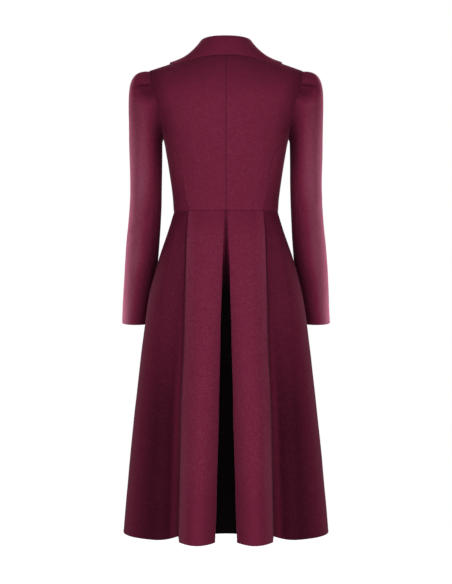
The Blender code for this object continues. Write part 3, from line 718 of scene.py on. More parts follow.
# %% Back and side back
BACK_ARMHOLE = [
    Edge(UNDERARM_Z, 157.0), Edge(-202.0, 156.2), Edge(-190.0, 157.6), Edge(-172.0, 160.5),
    Edge(-142.0, 166.0), Edge(-117.0, 173.0), Edge(-76.0, 185.0), Edge(-48.0, 190.5), Edge(TIP_Z, TIP_X),
]
PRINCESS_SEAM = [
    Edge(WAIST_Z, 89.8), Edge(-355.0, 99.8), Edge(-315.0, 104.4), Edge(-285.0, 110.0), Edge(-252.0, 121.5),
    Edge(-230.0, 139.0), Edge(-213.0, 152.5), Edge(-202.0, 156.2),
]
back_armhole, princess_seam = smooth(BACK_ARMHOLE), smooth(PRINCESS_SEAM)
SEAM_TOP = PRINCESS_SEAM[-1].z
SEAM_ROWS, ARMHOLE_ROWS, BACK_COLUMNS, SIDE_BACK_COLUMNS = 40, 48, 36, 14
ARMHOLE_PAINTED_SHADE, ARMHOLE_REACH = 0.35, 45.0  # painted shade beside the armhole, and how far from it it reaches
ARMHOLE_FROM = (-225.0, -190.0)  # heights between which that sets in
# painted shade under the collar, and the heights between which it sets in
UNDER_COLLAR_PAINTED_SHADE, UNDER_COLLAR = 0.22, (-140.0, -60.0)
# painted shade on the side back near the waist, and the heights over which it fades
SIDE_BACK_PAINTED_SHADE, SIDE_BACK_TURNS = 0.25, (-370.0, -280.0)

seam_heights = steps(WAIST_Z, SEAM_TOP, SEAM_ROWS)
grid = []
for height in seam_heights[:-1] + armhole_heights(SEAM_TOP, ARMHOLE_ROWS):
    edge_x = (princess_seam if height <= SEAM_TOP else back_armhole)(height, "x")
    line = []
    for c in range(BACK_COLUMNS + 1):
        top_x = c / BACK_COLUMNS * TIP_X
        top_z = NAPE_Z * (1 - (top_x / NECK_X) ** 2) if top_x < NECK_X else shoulder_height(top_x)
        z = WAIST_Z + (height - WAIST_Z) * (top_z - WAIST_Z) / (TIP_Z - WAIST_Z)
        x = c / BACK_COLUMNS * edge_x
        line.append(Vector((x, bodice_y(x, z, BEHIND), z)))
    grid.append(line)


def bodice_painted_shade(point, run):
    """Painted shade along the armhole and under the collar."""
    beside = 1 - soft_step(0.0, ARMHOLE_REACH, back_armhole(point.z, "x") - abs(point.x))
    under_collar = UNDER_COLLAR_PAINTED_SHADE * soft_step(*UNDER_COLLAR, point.z)
    return ARMHOLE_PAINTED_SHADE * beside * soft_step(*ARMHOLE_FROM, point.z) + under_collar


def side_back_painted_shade(point, run):
    """Towards the waist the side back turns away and takes up the painted shade of the side of the skirt.
    """
    return SIDE_BACK_PAINTED_SHADE * (1 - soft_step(*SIDE_BACK_TURNS, point.z))


directions = bodice_directions(grid, BEHIND)
for side in SIDES:
    sew_side("back_bodice", side, grid, directions, wool, "hung", [], seams=ALL_ROUND, nap=bodice_painted_shade)

grid = []
for seam_z in seam_heights:
    start = asin((princess_seam(seam_z, "x") / body(seam_z, "half_width")) ** (ROUND / 2))
    side_z = WAIST_Z + (seam_z - WAIST_Z) * (UNDERARM_Z - WAIST_Z) / (SEAM_TOP - WAIST_Z)
    line = []
    turns = steps(start, pi / 2, SIDE_BACK_COLUMNS)
    for z, turn in zip(steps(seam_z, side_z, SIDE_BACK_COLUMNS), turns):
        x = body(z, "half_width") * sin(turn) ** (2 / ROUND)
        line.append(Vector((x, bodice_y(x, z, BEHIND), z)))
    grid.append(line)
directions = outward(grid, (0, 1, 0), at=(4, 1))
for side in SIDES:
    sew_side("side_back_bodice", side, grid, directions, wool, "hung", ["back_bodice"], seams=ALL_ROUND,
             nap=side_back_painted_shade)
report_cut("back_bodice_left", "side_back_bodice_left")

# %% [markdown]
# ## The fronts and lapels
# The fronts don't show in the picture, so they are the plain fronts that such a coat must have: one laps
# over the other, and above the break each turns out into a lapel that lies on it and runs up to the
# collar. The lapel is made from the front's own points moved out, so that it follows the chest.

# %% Fronts
FRONT_GAP = 1.2
FRONT_ROWS, FRONT_BODICE_COLUMNS = 38, 40
TUCK_ENDS = (OVERLAP + 5, OVERLAP + 45)  # the left front comes out from under the right one between these
FRONT_EDGE = [Edge(WAIST_Z, -OVERLAP), Edge(BREAK_Z, -OVERLAP), Edge(0.0, NECK_X)]
FRONT_ARMHOLE = [
    Edge(UNDERARM_Z, 157.0), Edge(-202.0, 155.8), Edge(-190.0, 155.5), Edge(-172.0, 156.5),
    Edge(-142.0, 160.0), Edge(-117.0, 166.5), Edge(-76.0, 181.0), Edge(-48.0, 189.5), Edge(TIP_Z, TIP_X),
]
front_armhole = smooth(FRONT_ARMHOLE)


def tuck_under(x):
    """How far the left front lies inside the right one near the centre."""
    return (CLOTH + FRONT_GAP) * (1 - soft_step(*TUCK_ENDS, x))


def front_point(x, z, tucked):
    """A point of a front, on the outer face of the bodice or tucked under the other front."""
    return Vector((x, bodice_y(x, z, BEFORE) + (tuck_under(x) if tucked else 0.0), z))


below = steps(WAIST_Z, UNDERARM_Z, FRONT_ROWS)[:-1]
top_share = (0.0 - WAIST_Z) / (TIP_Z - WAIST_Z)  # the front edge ends at height 0, above the armhole's top
for side in SIDES:
    grid = []
    for height in below + armhole_heights(UNDERARM_Z, ARMHOLE_ROWS):
        edge_x = front_armhole(height, "x") if height > UNDERARM_Z else body(height, "half_width")
        front_x = straight(FRONT_EDGE, WAIST_Z + (height - WAIST_Z) * top_share)
        line = []
        for c in range(FRONT_BODICE_COLUMNS + 1):
            share = sin(pi / 2 * c / FRONT_BODICE_COLUMNS)
            top_z = shoulder_height(NECK_X + (TIP_X - NECK_X) * share)
            z = WAIST_Z + (height - WAIST_Z) * (top_z - WAIST_Z) / (TIP_Z - WAIST_Z)
            line.append(front_point(front_x + (edge_x - front_x) * share, z, side == "left"))
        grid.append(line)
    sew_side("front_bodice", side, grid, bodice_directions(grid, BEFORE), wool, "hung", ["back_bodice"],
             seams=ALL_ROUND[1:])
report_cut("front_bodice_left", "front_bodice_right")

# %% Lapels
LAPEL_GAP = 0.9
LAPEL_ROWS, LAPEL_COLUMNS = 48, 24
LAPEL_LEAST = 5.0  # width at its foot
LAPEL_FOOT = {"left": -176.0, "right": -256.0}  # the left lapel comes out from under the right front
LEFT_TAPER = 0.35  # share of its length over which it grows to its full width
GORGE_Z = -62.5
NOTCH, NOTCH_POWER = 9.5, 1.5  # how far the outer corner drops, and how late across the width
LAPEL_EDGE = [
    Edge(-258.0, -18.0), Edge(-225.0, 16.0), Edge(-180.0, 58.0), Edge(-130.0, 100.0), Edge(-92.0, 120.0),
    Edge(-62.0, 130.0),
]
lapel_edge = smooth(LAPEL_EDGE)
for side, foot in LAPEL_FOOT.items():
    grid = []
    for r, height in enumerate(steps(foot, GORGE_Z, LAPEL_ROWS)):
        roll_x = straight(FRONT_EDGE, height) + SEAM_GAP
        taper = soft_step(0.0, LEFT_TAPER, r / LAPEL_ROWS) if side == "left" else 1.0
        edge_x = roll_x + max((lapel_edge(height, "x") - roll_x) * taper, LAPEL_LEAST)
        line = []
        for c, x in enumerate(steps(roll_x, edge_x, LAPEL_COLUMNS)):
            z = height - NOTCH * (c / LAPEL_COLUMNS) ** NOTCH_POWER * r / LAPEL_ROWS
            line.append(front_point(x, z, side == "left"))
        grid.append(line)
    directions = outward(grid, (0, -1, 0), at=(LAPEL_ROWS // 2, LAPEL_COLUMNS // 2))
    grid = [[p + n * (CLOTH + LAPEL_GAP) for p, n in zip(*pair)] for pair in zip(grid, directions)]
    sew_side("lapel", side, grid, directions, wool, "folded", ["front_bodice"])
report_cut("lapel_left", "lapel_right")

# %% [markdown]
# ## The sleeves
# Each sleeve is cut in two, an upper and an under sleeve, and its head is fuller than the armhole. The
# fullness stands out squarely from the shoulder and is taken up in a short level tuck. The head leaves
# the armhole on a curve and turns down into rings that bend forward from the elbow to the cuff. It
# starts a little under the rounded edge of the armhole, so that no light comes through the seam.

# %% The form of the sleeves
UNDER_EDGE = 1.2  # the head starts this far under the rounded edge of the armhole
SLEEVE_ROUND = 2.2
HEAD_REACH = (3.0, 62.0)  # how far the head stands straight out of the armhole, under and on top
HEAD_LIFT = (6.0, 124.0)  # how far below the head the sleeve hangs straight, under and on top
REACH_POWER, LIFT_POWER = 1.2, 1.4  # how both grow from the underarm to the top
HEAD_RISE = 4.0
TIP_IN = 0.6  # share of the step under the edge that goes inward at the shoulder tip
ARMHOLE_POINTS = 96
BACK_SLEEVE_SEAM, FRONT_SLEEVE_SEAM = radians(125.0), radians(235.0)  # 0 is outermost, 90 behind
Ring = namedtuple("Ring", "z inner_x outer_x mid_y half_depth drop")
SLEEVE = [
    Ring(-226.0, 159.0, 241.0, 2.0, 65.0, 4.0),
    Ring(-330.0, 161.0, 239.5, -8.0, 62.0, 4.0),
    Ring(-410.0, 164.0, 245.0, -20.0, 59.0, 4.0),
    Ring(-470.0, 168.5, 252.0, -35.0, 56.0, 5.0),
    Ring(-530.0, 174.5, 257.5, -52.0, 53.0, 6.0),
    Ring(-600.0, 182.0, 263.0, -72.0, 50.0, 6.0),
    Ring(-668.0, 190.0, 267.5, -88.0, 48.0, 6.0),
]
sleeve = smooth(SLEEVE)


def armhole_loop(face):
    """Points of the armhole from the shoulder tip down to the underarm, behind or before."""
    table = back_armhole if face > 0 else front_armhole
    points = []
    for k in range(ARMHOLE_POINTS + 1):
        z = (UNDERARM_Z + TIP_Z) / 2 + (TIP_Z - UNDERARM_Z) / 2 * cos(pi * k / ARMHOLE_POINTS)
        x = table(z, "x")
        points.append(Vector((x, bodice_y(x, z, face) if 0 < k < ARMHOLE_POINTS else 0.0, z)))
    return points


loops = armhole_loop(BEHIND), armhole_loop(BEFORE)


def along_line(points, share):
    """The point at a share of a line's length."""
    lengths = [(b - a).length for a, b in zip(points, points[1:])]
    left = share * sum(lengths)
    for start, end, length in zip(points, points[1:], lengths):
        if left <= length:
            return start.lerp(end, left / length)
        left -= length
    return points[-1]


def sleeve_start(angle):
    """Where the head starts at one angle, a little way in along the bodice and under its face."""
    face = BEHIND if angle <= pi else BEFORE
    point = along_line(loops[0], angle / pi) if angle <= pi else along_line(loops[1], 2 - angle / pi)
    step = 3.0
    along = Vector((point.x - step, bodice_y(point.x - step, point.z, face), point.z)) - point
    along.normalize()
    inward = Vector((-abs(along.y), along.x * face, 0))
    beside = abs(sin(angle))
    over = Vector((-TIP_IN, 0, -max(cos(angle), 0))) * (1 - beside)
    return point + ((along + inward) * beside + over) * UNDER_EDGE


def sleeve_ring(angle, z):
    """A point of the sleeve at the height of one ring, angle 0 outermost and a quarter turn behind."""
    ring = Ring(z, *(sleeve(z, name) for name in Ring._fields[1:]))
    parts = (cos(angle), sin(angle))
    across, deep = (abs(s) ** (2 / SLEEVE_ROUND) * (1 if s >= 0 else -1) for s in parts)
    middle, half = (ring.inner_x + ring.outer_x) / 2, (ring.outer_x - ring.inner_x) / 2
    return Vector((middle + half * across, ring.mid_y + ring.half_depth * deep, z - ring.drop * deep))


def head_point(angle, start, end, t):
    """A point on the curve of the sleeve head from the armhole to the first ring."""
    top = (1 + cos(angle)) / 2
    leave = start + Vector((HEAD_REACH[0] + HEAD_REACH[1] * top**REACH_POWER, 0, HEAD_RISE * top))
    arrive = end + Vector((0, 0, HEAD_LIFT[0] + HEAD_LIFT[1] * top**LIFT_POWER))
    near = start * (1 - t) ** 3 + leave * 3 * t * (1 - t) ** 2
    return near + arrive * 3 * t * t * (1 - t) + end * t**3


print("armhole", [round(line_length(loop)) for loop in loops], "mm behind and before")

# %% Columns and rows of the sleeves
UNDER_COLUMNS, UPPER_STEPS = 26, 64
HEAD_ROWS, ARM_ROWS = 44, 80
TUCK_Z = -79.5
TUCK_CLEAR = radians(2)  # other columns stay this far from those of the tuck
TUCK_TRIES = 400  # steps along the armhole in the search for the tuck
TUCK_STEPS = (-6.0, -3.4, -2.0, -1.1, -0.4, 0.4, 1.1, 2.0, 3.4, 6.0)  # close columns across the tuck


def tuck_angles(loop, sign):
    """Angles of columns that lie close together where the tuck meets the armhole."""
    length = line_length(loop)
    tries = [k / TUCK_TRIES for k in range(TUCK_TRIES)]
    share = min(tries, key=lambda s: abs(along_line(loop, s).z - TUCK_Z))
    return [sign * (share + step / length) * pi for step in TUCK_STEPS]


angles = steps(BACK_SLEEVE_SEAM, FRONT_SLEEVE_SEAM, UNDER_COLUMNS)[:-1]
tucks = tuck_angles(loops[0], 1) + tuck_angles(loops[1], -1)
upper = [BACK_SLEEVE_SEAM * (2 * k / UPPER_STEPS - 1) for k in range(UPPER_STEPS)]
upper = [a for a in upper if min(abs(a - t) for t in tucks) > TUCK_CLEAR] + tucks
UPPER_COLUMNS = len(upper)
angles += [a % (2 * pi) for a in sorted(upper)]
head_z, cuff_z = SLEEVE[0].z, SLEEVE[-1].z
ways = [(a, sleeve_start(a), sleeve_ring(a, head_z)) for a in angles]
grid = [[head_point(*way, k / HEAD_ROWS) for way in ways] for k in range(HEAD_ROWS)]
grid += [[sleeve_ring(a, z) for a in angles] for z in steps(head_z, cuff_z, ARM_ROWS)]
directions = outward(grid, (-1, 1, 0), at=(-1, 0), wrap=True)
print("sleeve of", len(grid), "rows and", len(angles), "columns")

# %% Cut the sleeves
# depth is the painted shade on the inner side of a sleeve behind, stand its painted highlight outside
SleevePaintedLight = namedtuple("SleevePaintedLight", "z inner outer depth stand")
SLEEVE_PAINTED_LIGHT = [  # painted shade up to the inner share of the width, painted highlight beyond the outer one
    SleevePaintedLight(-60.0, -0.1, 0.45, 0.35, 0.08),
    SleevePaintedLight(-110.0, -0.1, 0.5, 0.55, 0.16),
    SleevePaintedLight(-160.0, -0.1, 0.5, 0.95, 0.22),
    SleevePaintedLight(-235.0, -0.05, 0.47, 1.0, 0.38),
    SleevePaintedLight(-320.0, -0.1, 0.5, 0.3, 0.55),
    SleevePaintedLight(-410.0, -0.1, 0.62, 0.55, 0.5),
    SleevePaintedLight(-500.0, 0.0, 0.6, 0.9, 0.6),
    SleevePaintedLight(-560.0, 0.1, 0.7, 1.0, 0.65),
    SleevePaintedLight(-668.0, 0.18, 0.78, 1.0, 1.0),
]
# an even painted shade over the front half of each sleeve
SLEEVE_FRONT_PAINTED_SHADE = 0.45
SLEEVE_BEHIND = (-0.6, 0.0)  # depths, in shares of the sleeve, between which the even painted shade of the front gives way
HIGHLIGHT_RISE = (-0.3, 0.15)  # where the painted highlight starts and where it is full, beside the outer share
HEAD_SHADOW, HEAD_SHADOW_X, HEAD_SHADOW_SIZE = 0.7, 186.0, (54.0, 58.0)  # a patch of painted shadow beside the tuck, its middle and size
HEAD_SHADOW_FADE = (0.35, 1.05)  # it fades between these shares of its size
ABOVE_TUCK, ABOVE_TUCK_LESS_SHADOW = (TUCK_Z - 2, TUCK_Z + 8), 0.6  # above the tuck the painted shadow loses this share
SLEEVE_TURN = 0.8  # its seams turn in less
painted_light_of_sleeve = smooth(SLEEVE_PAINTED_LIGHT)


def sleeve_painted_light(point, run):
    """Painted shade in front and, behind, on the inner side and by the tuck; a painted highlight outside.
    """
    ring_z = min(point.z, head_z)
    inner, outer = sleeve(ring_z, "inner_x"), sleeve(ring_z, "outer_x")
    share = (abs(point.x) - inner) / (outer - inner)
    row = SleevePaintedLight(point.z, *(painted_light_of_sleeve(point.z, name) for name in SleevePaintedLight._fields[1:]))
    depth = (point.y - sleeve(ring_z, "mid_y")) / sleeve(ring_z, "half_depth")
    behind = soft_step(*SLEEVE_BEHIND, depth)
    away = row.depth * (1 - soft_step(row.inner, row.outer, share))
    beside = (abs(point.x) - HEAD_SHADOW_X) / HEAD_SHADOW_SIZE[0], (point.z - TUCK_Z) / HEAD_SHADOW_SIZE[1]
    head = HEAD_SHADOW * (1 - soft_step(*HEAD_SHADOW_FADE, hypot(*beside)))
    head *= 1 - ABOVE_TUCK_LESS_SHADOW * soft_step(*ABOVE_TUCK, point.z)
    painted_highlight = row.stand * soft_step(row.outer + HIGHLIGHT_RISE[0], row.outer + HIGHLIGHT_RISE[1], share)
    return SLEEVE_FRONT_PAINTED_SHADE + (max(away, head) - painted_highlight - SLEEVE_FRONT_PAINTED_SHADE) * behind


SLEEVE_CUTS = (
    ("under_sleeve", 0, UNDER_COLUMNS, wool_flat),
    ("upper_sleeve", UNDER_COLUMNS, UPPER_COLUMNS, wool_raised),
)
for name, first, count, cloth in SLEEVE_CUTS:
    columns = [(first + k) % len(angles) for k in range(count + 1)]
    part = [[line[c] for c in columns] for line in grid]
    turns = [[line[c] for c in columns] for line in directions]
    for side in SIDES:
        sew_side(name, side, part, turns, cloth, "hung", ["back_bodice", "front_bodice"],
                 turn=SLEEVE_TURN, seams=ALL_ROUND[:3], nap=sleeve_painted_light)
        strip_lit.objects.link(pieces[f"{name}_{side}"])
report_cut("upper_sleeve_left", "under_sleeve_left")

# %% [markdown]
# ## The skirt
# Behind, two panels stand forward of the rest: each runs from the edge of a deep pleat in the middle,
# over a rounded face, to a crisp outer edge. There the side panel turns in behind it, swells out again
# and runs round to the front. One function gives half of the skirt at any height as a line of points,
# and the three pieces of each side are cut out of those lines.

# %% The line of the skirt at one height
Skirt = namedtuple(
    "Skirt",
    "z side_x pleat_x pleat_y middle_y crease_x crease_y valley_y swell_x swell_y front_y depth turn",
)
SKIRT = [
    Skirt(WAIST_Z, 130.0, 0.6, 90.0, 86.5, 89.8, 70.8, 68.4, 112.0, 52.6, 94.0, 12.0, 24.0),
    Skirt(-435.0, 143.0, 3.4, 99.0, 101.0, 93.7, 84.0, 76.0, 121.0, 65.0, 105.0, 24.0, 40.0),
    Skirt(-510.0, 168.5, 6.3, 110.0, 118.0, 95.9, 98.0, 81.0, 138.0, 80.0, 121.0, 38.0, 60.0),
    Skirt(-600.0, 191.5, 9.8, 118.0, 131.0, 97.7, 108.0, 82.0, 151.0, 90.0, 135.0, 51.0, 72.0),
    Skirt(-710.0, 207.0, 13.0, 124.0, 143.0, 99.4, 116.0, 80.0, 158.0, 97.0, 147.0, 63.0, 78.0),
    Skirt(-860.0, 224.5, 16.3, 129.0, 156.0, 105.6, 124.0, 76.0, 163.0, 103.0, 160.0, 77.0, 82.0),
    Skirt(-1020.0, 241.0, 20.6, 134.0, 168.0, 108.8, 131.0, 72.0, 167.0, 107.0, 172.0, 89.0, 85.0),
    Skirt(HEM_Z, 256.0, 25.5, 139.0, 178.0, 112.2, 137.0, 69.0, 170.0, 110.0, 184.0, 98.0, 87.0),
]
skirt = smooth(SKIRT)
SKIRT_ROUND = 2.2
VALLEY_OUT = 4.5
WAIST_REACH = 70.0  # at the waist the skirt follows the bodice, and leaves it over this height
SIDE_BOW = (1.04, 1.19)  # fullness of the side panel from valley to swell, low down and at the waist
SIDE_TURN = (0.72, 0.63)  # and from the swell to the side
BOW_AT = 0.45  # where that fullness lies between the valley and the swell
FOLD_ROUND = 3.0  # how far from the pressed edge of the pleat the cloth starts to turn
RETURN_COLUMNS, TURN_COLUMNS, PANEL_COLUMNS = 10, 5, 24
FOLD_COLUMNS, RISE_COLUMNS, SIDE_COLUMNS, FRONT_COLUMNS = 10, 14, 20, 56
SKIRT_ROWS, ROW_SPREAD = 110, 1.1  # rows lie a little closer at the waist


def skirt_line(z, tucked):
    """Half of the skirt at one height: pleat return, back panel, fold, side panel and front."""
    row = Skirt(z, *(skirt(z, name) for name in Skirt._fields[1:]))
    turn = radians(row.turn)
    pleat = Vector((row.pleat_x, row.pleat_y, z))
    deep = pleat + Vector((cos(turn), -sin(turn), 0)) * row.depth
    crease = Vector((row.crease_x, row.crease_y, z))
    crown = Vector(((row.pleat_x + row.crease_x) / 2, row.middle_y, z)) * 2 - (pleat + crease) / 2
    valley = Vector((row.crease_x + VALLEY_OUT, row.valley_y, z))
    swell = Vector((row.swell_x, row.swell_y, z))
    side = Vector((row.side_x, 0, z))
    held = soft_step(WAIST_Z - WAIST_REACH, WAIST_Z, z)
    bow, side_turn, power = (a + (b - a) * held for a, b in (SIDE_BOW, SIDE_TURN, (SKIRT_ROUND, ROUND)))
    near = FOLD_ROUND / row.depth
    before = pleat.lerp(deep, near)
    first = FOLD_ROUND / (crease - pleat).length
    after = bezier(pleat, crown, crease, first)
    line = [deep.lerp(before, k / RETURN_COLUMNS) for k in range(RETURN_COLUMNS)]
    line += [bezier(before, pleat, after, k / TURN_COLUMNS) for k in range(TURN_COLUMNS)]
    line += [bezier(pleat, crown, crease, t) for t in steps(first, 1, PANEL_COLUMNS)[:-1]]
    line += [crease.lerp(valley, k / FOLD_COLUMNS) for k in range(FOLD_COLUMNS)]
    rise = Vector((valley.x + (swell.x - valley.x) * BOW_AT, swell.y * bow, z))
    line += [bezier(valley, rise, swell, k / RISE_COLUMNS) for k in range(RISE_COLUMNS)]
    shoulder = Vector((side.x, swell.y * side_turn, z))
    line += [bezier(swell, shoulder, side, k / SIDE_COLUMNS) for k in range(SIDE_COLUMNS)]
    end = pi - acos((OVERLAP / row.side_x) ** (power / 2))
    for k in range(FRONT_COLUMNS + 1):
        angle = end * k / FRONT_COLUMNS
        x = row.side_x * abs(cos(angle)) ** (2 / power) * (1 if cos(angle) >= 0 else -1)
        y = -row.front_y * (1 - (abs(x) / row.side_x) ** power) ** (1 / power)
        line.append(Vector((x, y, z)))
    if tucked:
        line = [p + Vector((0, tuck_under(p.x) if p.y < 0 else 0.0, 0)) for p in line]
    return line


shares = [(k / SKIRT_ROWS) ** ROW_SPREAD for k in range(SKIRT_ROWS + 1)]
skirt_heights = [WAIST_Z + (HEM_Z - WAIST_Z) * share for share in shares]
print("skirt of", len(skirt_heights), "rows and", len(skirt_line(HEM_Z, False)), "columns on each side")

# %% Painted light and shade on the skirt
# painted shade of the side panel at its seam with the front
SIDE_SEAM_PAINTED_SHADE = 0.17
FOLD_PAINTED_SHADE, FOLD_SHARE = 0.1, 0.05  # painted shade on the narrow fold that the eye sees almost edge on
MIDDLE_PAINTED_SHADE, MIDDLE_GROWS, MIDDLE_HEIGHTS = 0.58, 0.4, (-600.0, -950.0)  # painted shade along the middle of a side panel, growing lower down
VALLEY_PAINTED_SHADE, VALLEY_GROWS, VALLEY_HEIGHTS = 0.6, -0.9, (-560.0, -950.0)  # painted shade beside the back panel, a painted highlight low down
VALLEY_SHARES, SEAM_SHARES = (0.02, 0.22), (0.5, 1.0)  # shares across the panel where both give way
FRONT_FADE = 90.0  # the front panel loses the painted shade of the seam over this distance
PRESSED, PRESSED_HIGHLIGHT = 26.0, 0.16  # width of the painted highlight along the pressed edge, and its strength
PRESSED_GROWS, PRESSED_LOW = 0.25, (-850.0, -1100.0)  # the painted highlight grows towards the hem
PLEAT_TURN = 14.0  # the pleat's side takes a painted shadow over this distance from its edge
END_PAINTED_SHADE, END_TOP, END_LOW = 0.1, (-470.0, -410.0), (-1000.0, -1100.0)  # painted shade at the waist and at the hem
# a faint painted highlight over the back panels
BACK_PAINTED_LIGHT = -0.04


def side_painted_shade(point, run):
    """Painted shade on the side panel, deepest along its middle and towards the hem."""
    crease_x, side_x = skirt(point.z, "crease_x"), skirt(point.z, "side_x")
    share = (abs(point.x) - crease_x) / (side_x - crease_x)
    middle = MIDDLE_PAINTED_SHADE + MIDDLE_GROWS * soft_step(*MIDDLE_HEIGHTS, point.z)
    valley = VALLEY_PAINTED_SHADE + VALLEY_GROWS * soft_step(*VALLEY_HEIGHTS, point.z)
    inner, outer = 1 - soft_step(*VALLEY_SHARES, share), soft_step(*SEAM_SHARES, share)
    nap = middle - (middle - valley) * inner - (middle - SIDE_SEAM_PAINTED_SHADE) * outer
    return FOLD_PAINTED_SHADE + (nap - FOLD_PAINTED_SHADE) * soft_step(0.0, FOLD_SHARE, share)


def front_painted_shade(point, run):
    """The front panel takes up the painted shade of the side panel at the seam and soon loses it."""
    return SIDE_SEAM_PAINTED_SHADE * (1 - soft_step(0.0, FRONT_FADE, -point.y))


def back_painted_light(point, run):
    """A painted shadow on the turned-in side of the pleat and a painted highlight on the pressed outer
    edge.
    """
    turned_in = 1 - soft_step(-PLEAT_TURN, 0.0, run - skirt(point.z, "depth"))
    if turned_in > 0:
        return turned_in
    pressed = 1 - soft_step(0.0, PRESSED, skirt(point.z, "crease_x") - abs(point.x))
    painted_highlight = PRESSED_HIGHLIGHT + PRESSED_GROWS * soft_step(*PRESSED_LOW, point.z)
    ends = soft_step(*END_TOP, point.z) + soft_step(*END_LOW, point.z)
    return END_PAINTED_SHADE * ends - painted_highlight * pressed + BACK_PAINTED_LIGHT


print("nap at the middle of a side panel's hem", round(side_painted_shade(Vector((170, 0, HEM_Z)), 0), 2))

# %% Back, side and front skirt
SkirtCut = namedtuple("SkirtCut", "name count cloth hangs_from seams joined nap")
SKIRT_CUTS = (
    SkirtCut("back_skirt", RETURN_COLUMNS + TURN_COLUMNS + PANEL_COLUMNS, wool, "back_bodice",
             ("first_row",), ("last_column", "first_row"), back_painted_light),
    SkirtCut("side_skirt", FOLD_COLUMNS + RISE_COLUMNS + SIDE_COLUMNS, wool_flat, "side_back_bodice",
             ("last_column",), ("first_column", "first_row"), side_painted_shade),
    SkirtCut("front_skirt", FRONT_COLUMNS, wool, "front_bodice",
             ("first_column",), ("first_row",), front_painted_shade),
)
for side in SIDES:
    grid = [skirt_line(z, side == "left") for z in skirt_heights]
    directions = outward(grid, (0, -1, 0))
    first = 0
    for cut in SKIRT_CUTS:
        part = [line[first : first + cut.count + 1] for line in grid]
        turns = [line[first : first + cut.count + 1] for line in directions]
        sew_side(cut.name, side, part, turns, cut.cloth, "hung", [cut.hangs_from], seams=cut.seams,
                 joined=cut.joined, nap=cut.nap)
        first += cut.count
report_cut("back_skirt_left", "side_skirt_left", "front_skirt_left")

# %% [markdown]
# ## The pleat underlay
# The two turned-in sides of the pleat are joined by a strip at its bottom. Hardly any light reaches it,
# and it looks all but black, so it is the same wool with that shadow painted in.

# %% The strip at the bottom of the pleat
LAYER_GAP = 0.5
UNDERLAY_DIP = 6.0
UNDERLAY_COLUMNS = 24
ALLOWANCE = (9.0, 5.0, 2.0)  # rows above the waist seam, flat on the inside of the bodice, close the pleat
UNDERLAY_SIDES = (0.15, 1.0)  # shares of the opening that get painted light at the top, where light reaches in
UNDERLAY_DARK = (-450.0, -600.0)  # heights between which its painted shadow grows dark
shares = steps(-1, 1, UNDERLAY_COLUMNS)
grid = []
for rise in ALLOWANCE:
    top = skirt_line(WAIST_Z, False)[0].x + rise / 2
    z = WAIST_Z + rise
    lies_in = CLOTH + LAYER_GAP
    grid.append([Vector((-top * s, bodice_y(top * s, z, BEHIND) - lies_in, z)) for s in shares])
for z in skirt_heights:
    end = skirt_line(z, False)[0]
    dip = UNDERLAY_DIP * (z - WAIST_Z) / (HEM_Z - WAIST_Z)
    grid.append([Vector((-end.x * s, end.y - LAYER_GAP - dip * (1 - s * s), z)) for s in shares])
directions = outward(grid, (0, 1, 0), at=(-1, UNDERLAY_COLUMNS // 2))


def underlay_painted_light(point, run):
    """Painted light on its sides near the waist, where the pleat is shallow, and painted shadow below."""
    beside = soft_step(*UNDERLAY_SIDES, abs(point.x) / skirt(point.z, "pleat_x"))
    deep = soft_step(*UNDERLAY_DARK, point.z)
    return deep - beside * (1 - deep)


sew_piece("pleat_underlay", grid, directions, wool_painted_pleat_shadow, "hung", ["back_skirt_left", "back_skirt_right"],
          nap=underlay_painted_light)
report_cut("pleat_underlay")

# %% [markdown]
# ## The collar
# The collar stands up at the back of the neck, turns over at its roll line and falls wide across the
# shoulders to the lapels. It is drawn as a section at each station from the nape round to the front:
# up the stand, over the roll, and down the fall, which is lifted wherever it would sink into the
# shoulder under it.

# %% Sections of the collar
COLLAR_CLOTH = 2.6
COLLAR_GAP = 1.1
COLLAR_TURN = 1.3
# an even painted shade over the whole collar
COLLAR_PAINTED_SHADE = 0.14
FAR_BELOW = -1000.0  # a point from here is lifted onto the shoulder
LEVEL, STEEP = 0.95, 0.3  # how much of the outward direction points up on the shoulder seam, and at least
SIDE_NECK = 4  # the station where the collar crosses the shoulder seam
COLLAR_END_Z = -60.0
ROLL_RADIUS = 4.2
STAND_STEPS, ROLL_STEPS, FALL_STEPS, STATION_STEPS = 9, 5, 24, 84
Collar = namedtuple("Collar", "station roll_x roll_y roll_z edge_x edge_y bow_out bow_up")
COLLAR = [
    Collar(-1, -26.0, 59.0, 37.0, -34.0, 80.7, 0.70, 0.64),
    Collar(0, 0.0, 64.0, 37.0, 0.0, 85.5, 0.75, 0.66),
    Collar(1, 26.0, 59.0, 37.0, 34.0, 80.7, 0.70, 0.64),
    Collar(2, 45.5, 43.0, 37.0, 64.0, 70.2, 0.54, 0.62),
    Collar(3, 57.0, 20.0, 36.5, 101.0, 58.5, 0.36, 0.62),
    Collar(4, 60.0, -3.0, 34.0, 131.0, 49.0, 0.27, 0.62),
    Collar(5, 61.5, -30.0, 17.0, 140.5, 6.0, 0.26, 0.6),
    Collar(6, 59.0, -61.0, -14.0, 141.0, -37.0, 0.35, 0.75),
    Collar(7, 52.0, -92.0, -54.0, 135.0, -55.0, 0.45, 0.95),
]
collar = smooth(COLLAR, "station")


def shoulder_z(x, y):
    """Height of the bodice's outer face over a point of the plan near the shoulder."""
    face = BEHIND if y >= 0 else BEFORE
    rounding = BACK_SHOULDER if face > 0 else FRONT_SHOULDER
    z = shoulder_height(x)
    for _ in range(8):
        across = (1 - (abs(x) / body(z, "half_width")) ** ROUND) ** (1 / ROUND)
        share = min(abs(y) / (body(z, "back" if face > 0 else "front") * across), 0.999)
        z = shoulder_height(x) - rounding * (1 - sqrt(1 - share**2))
    return z


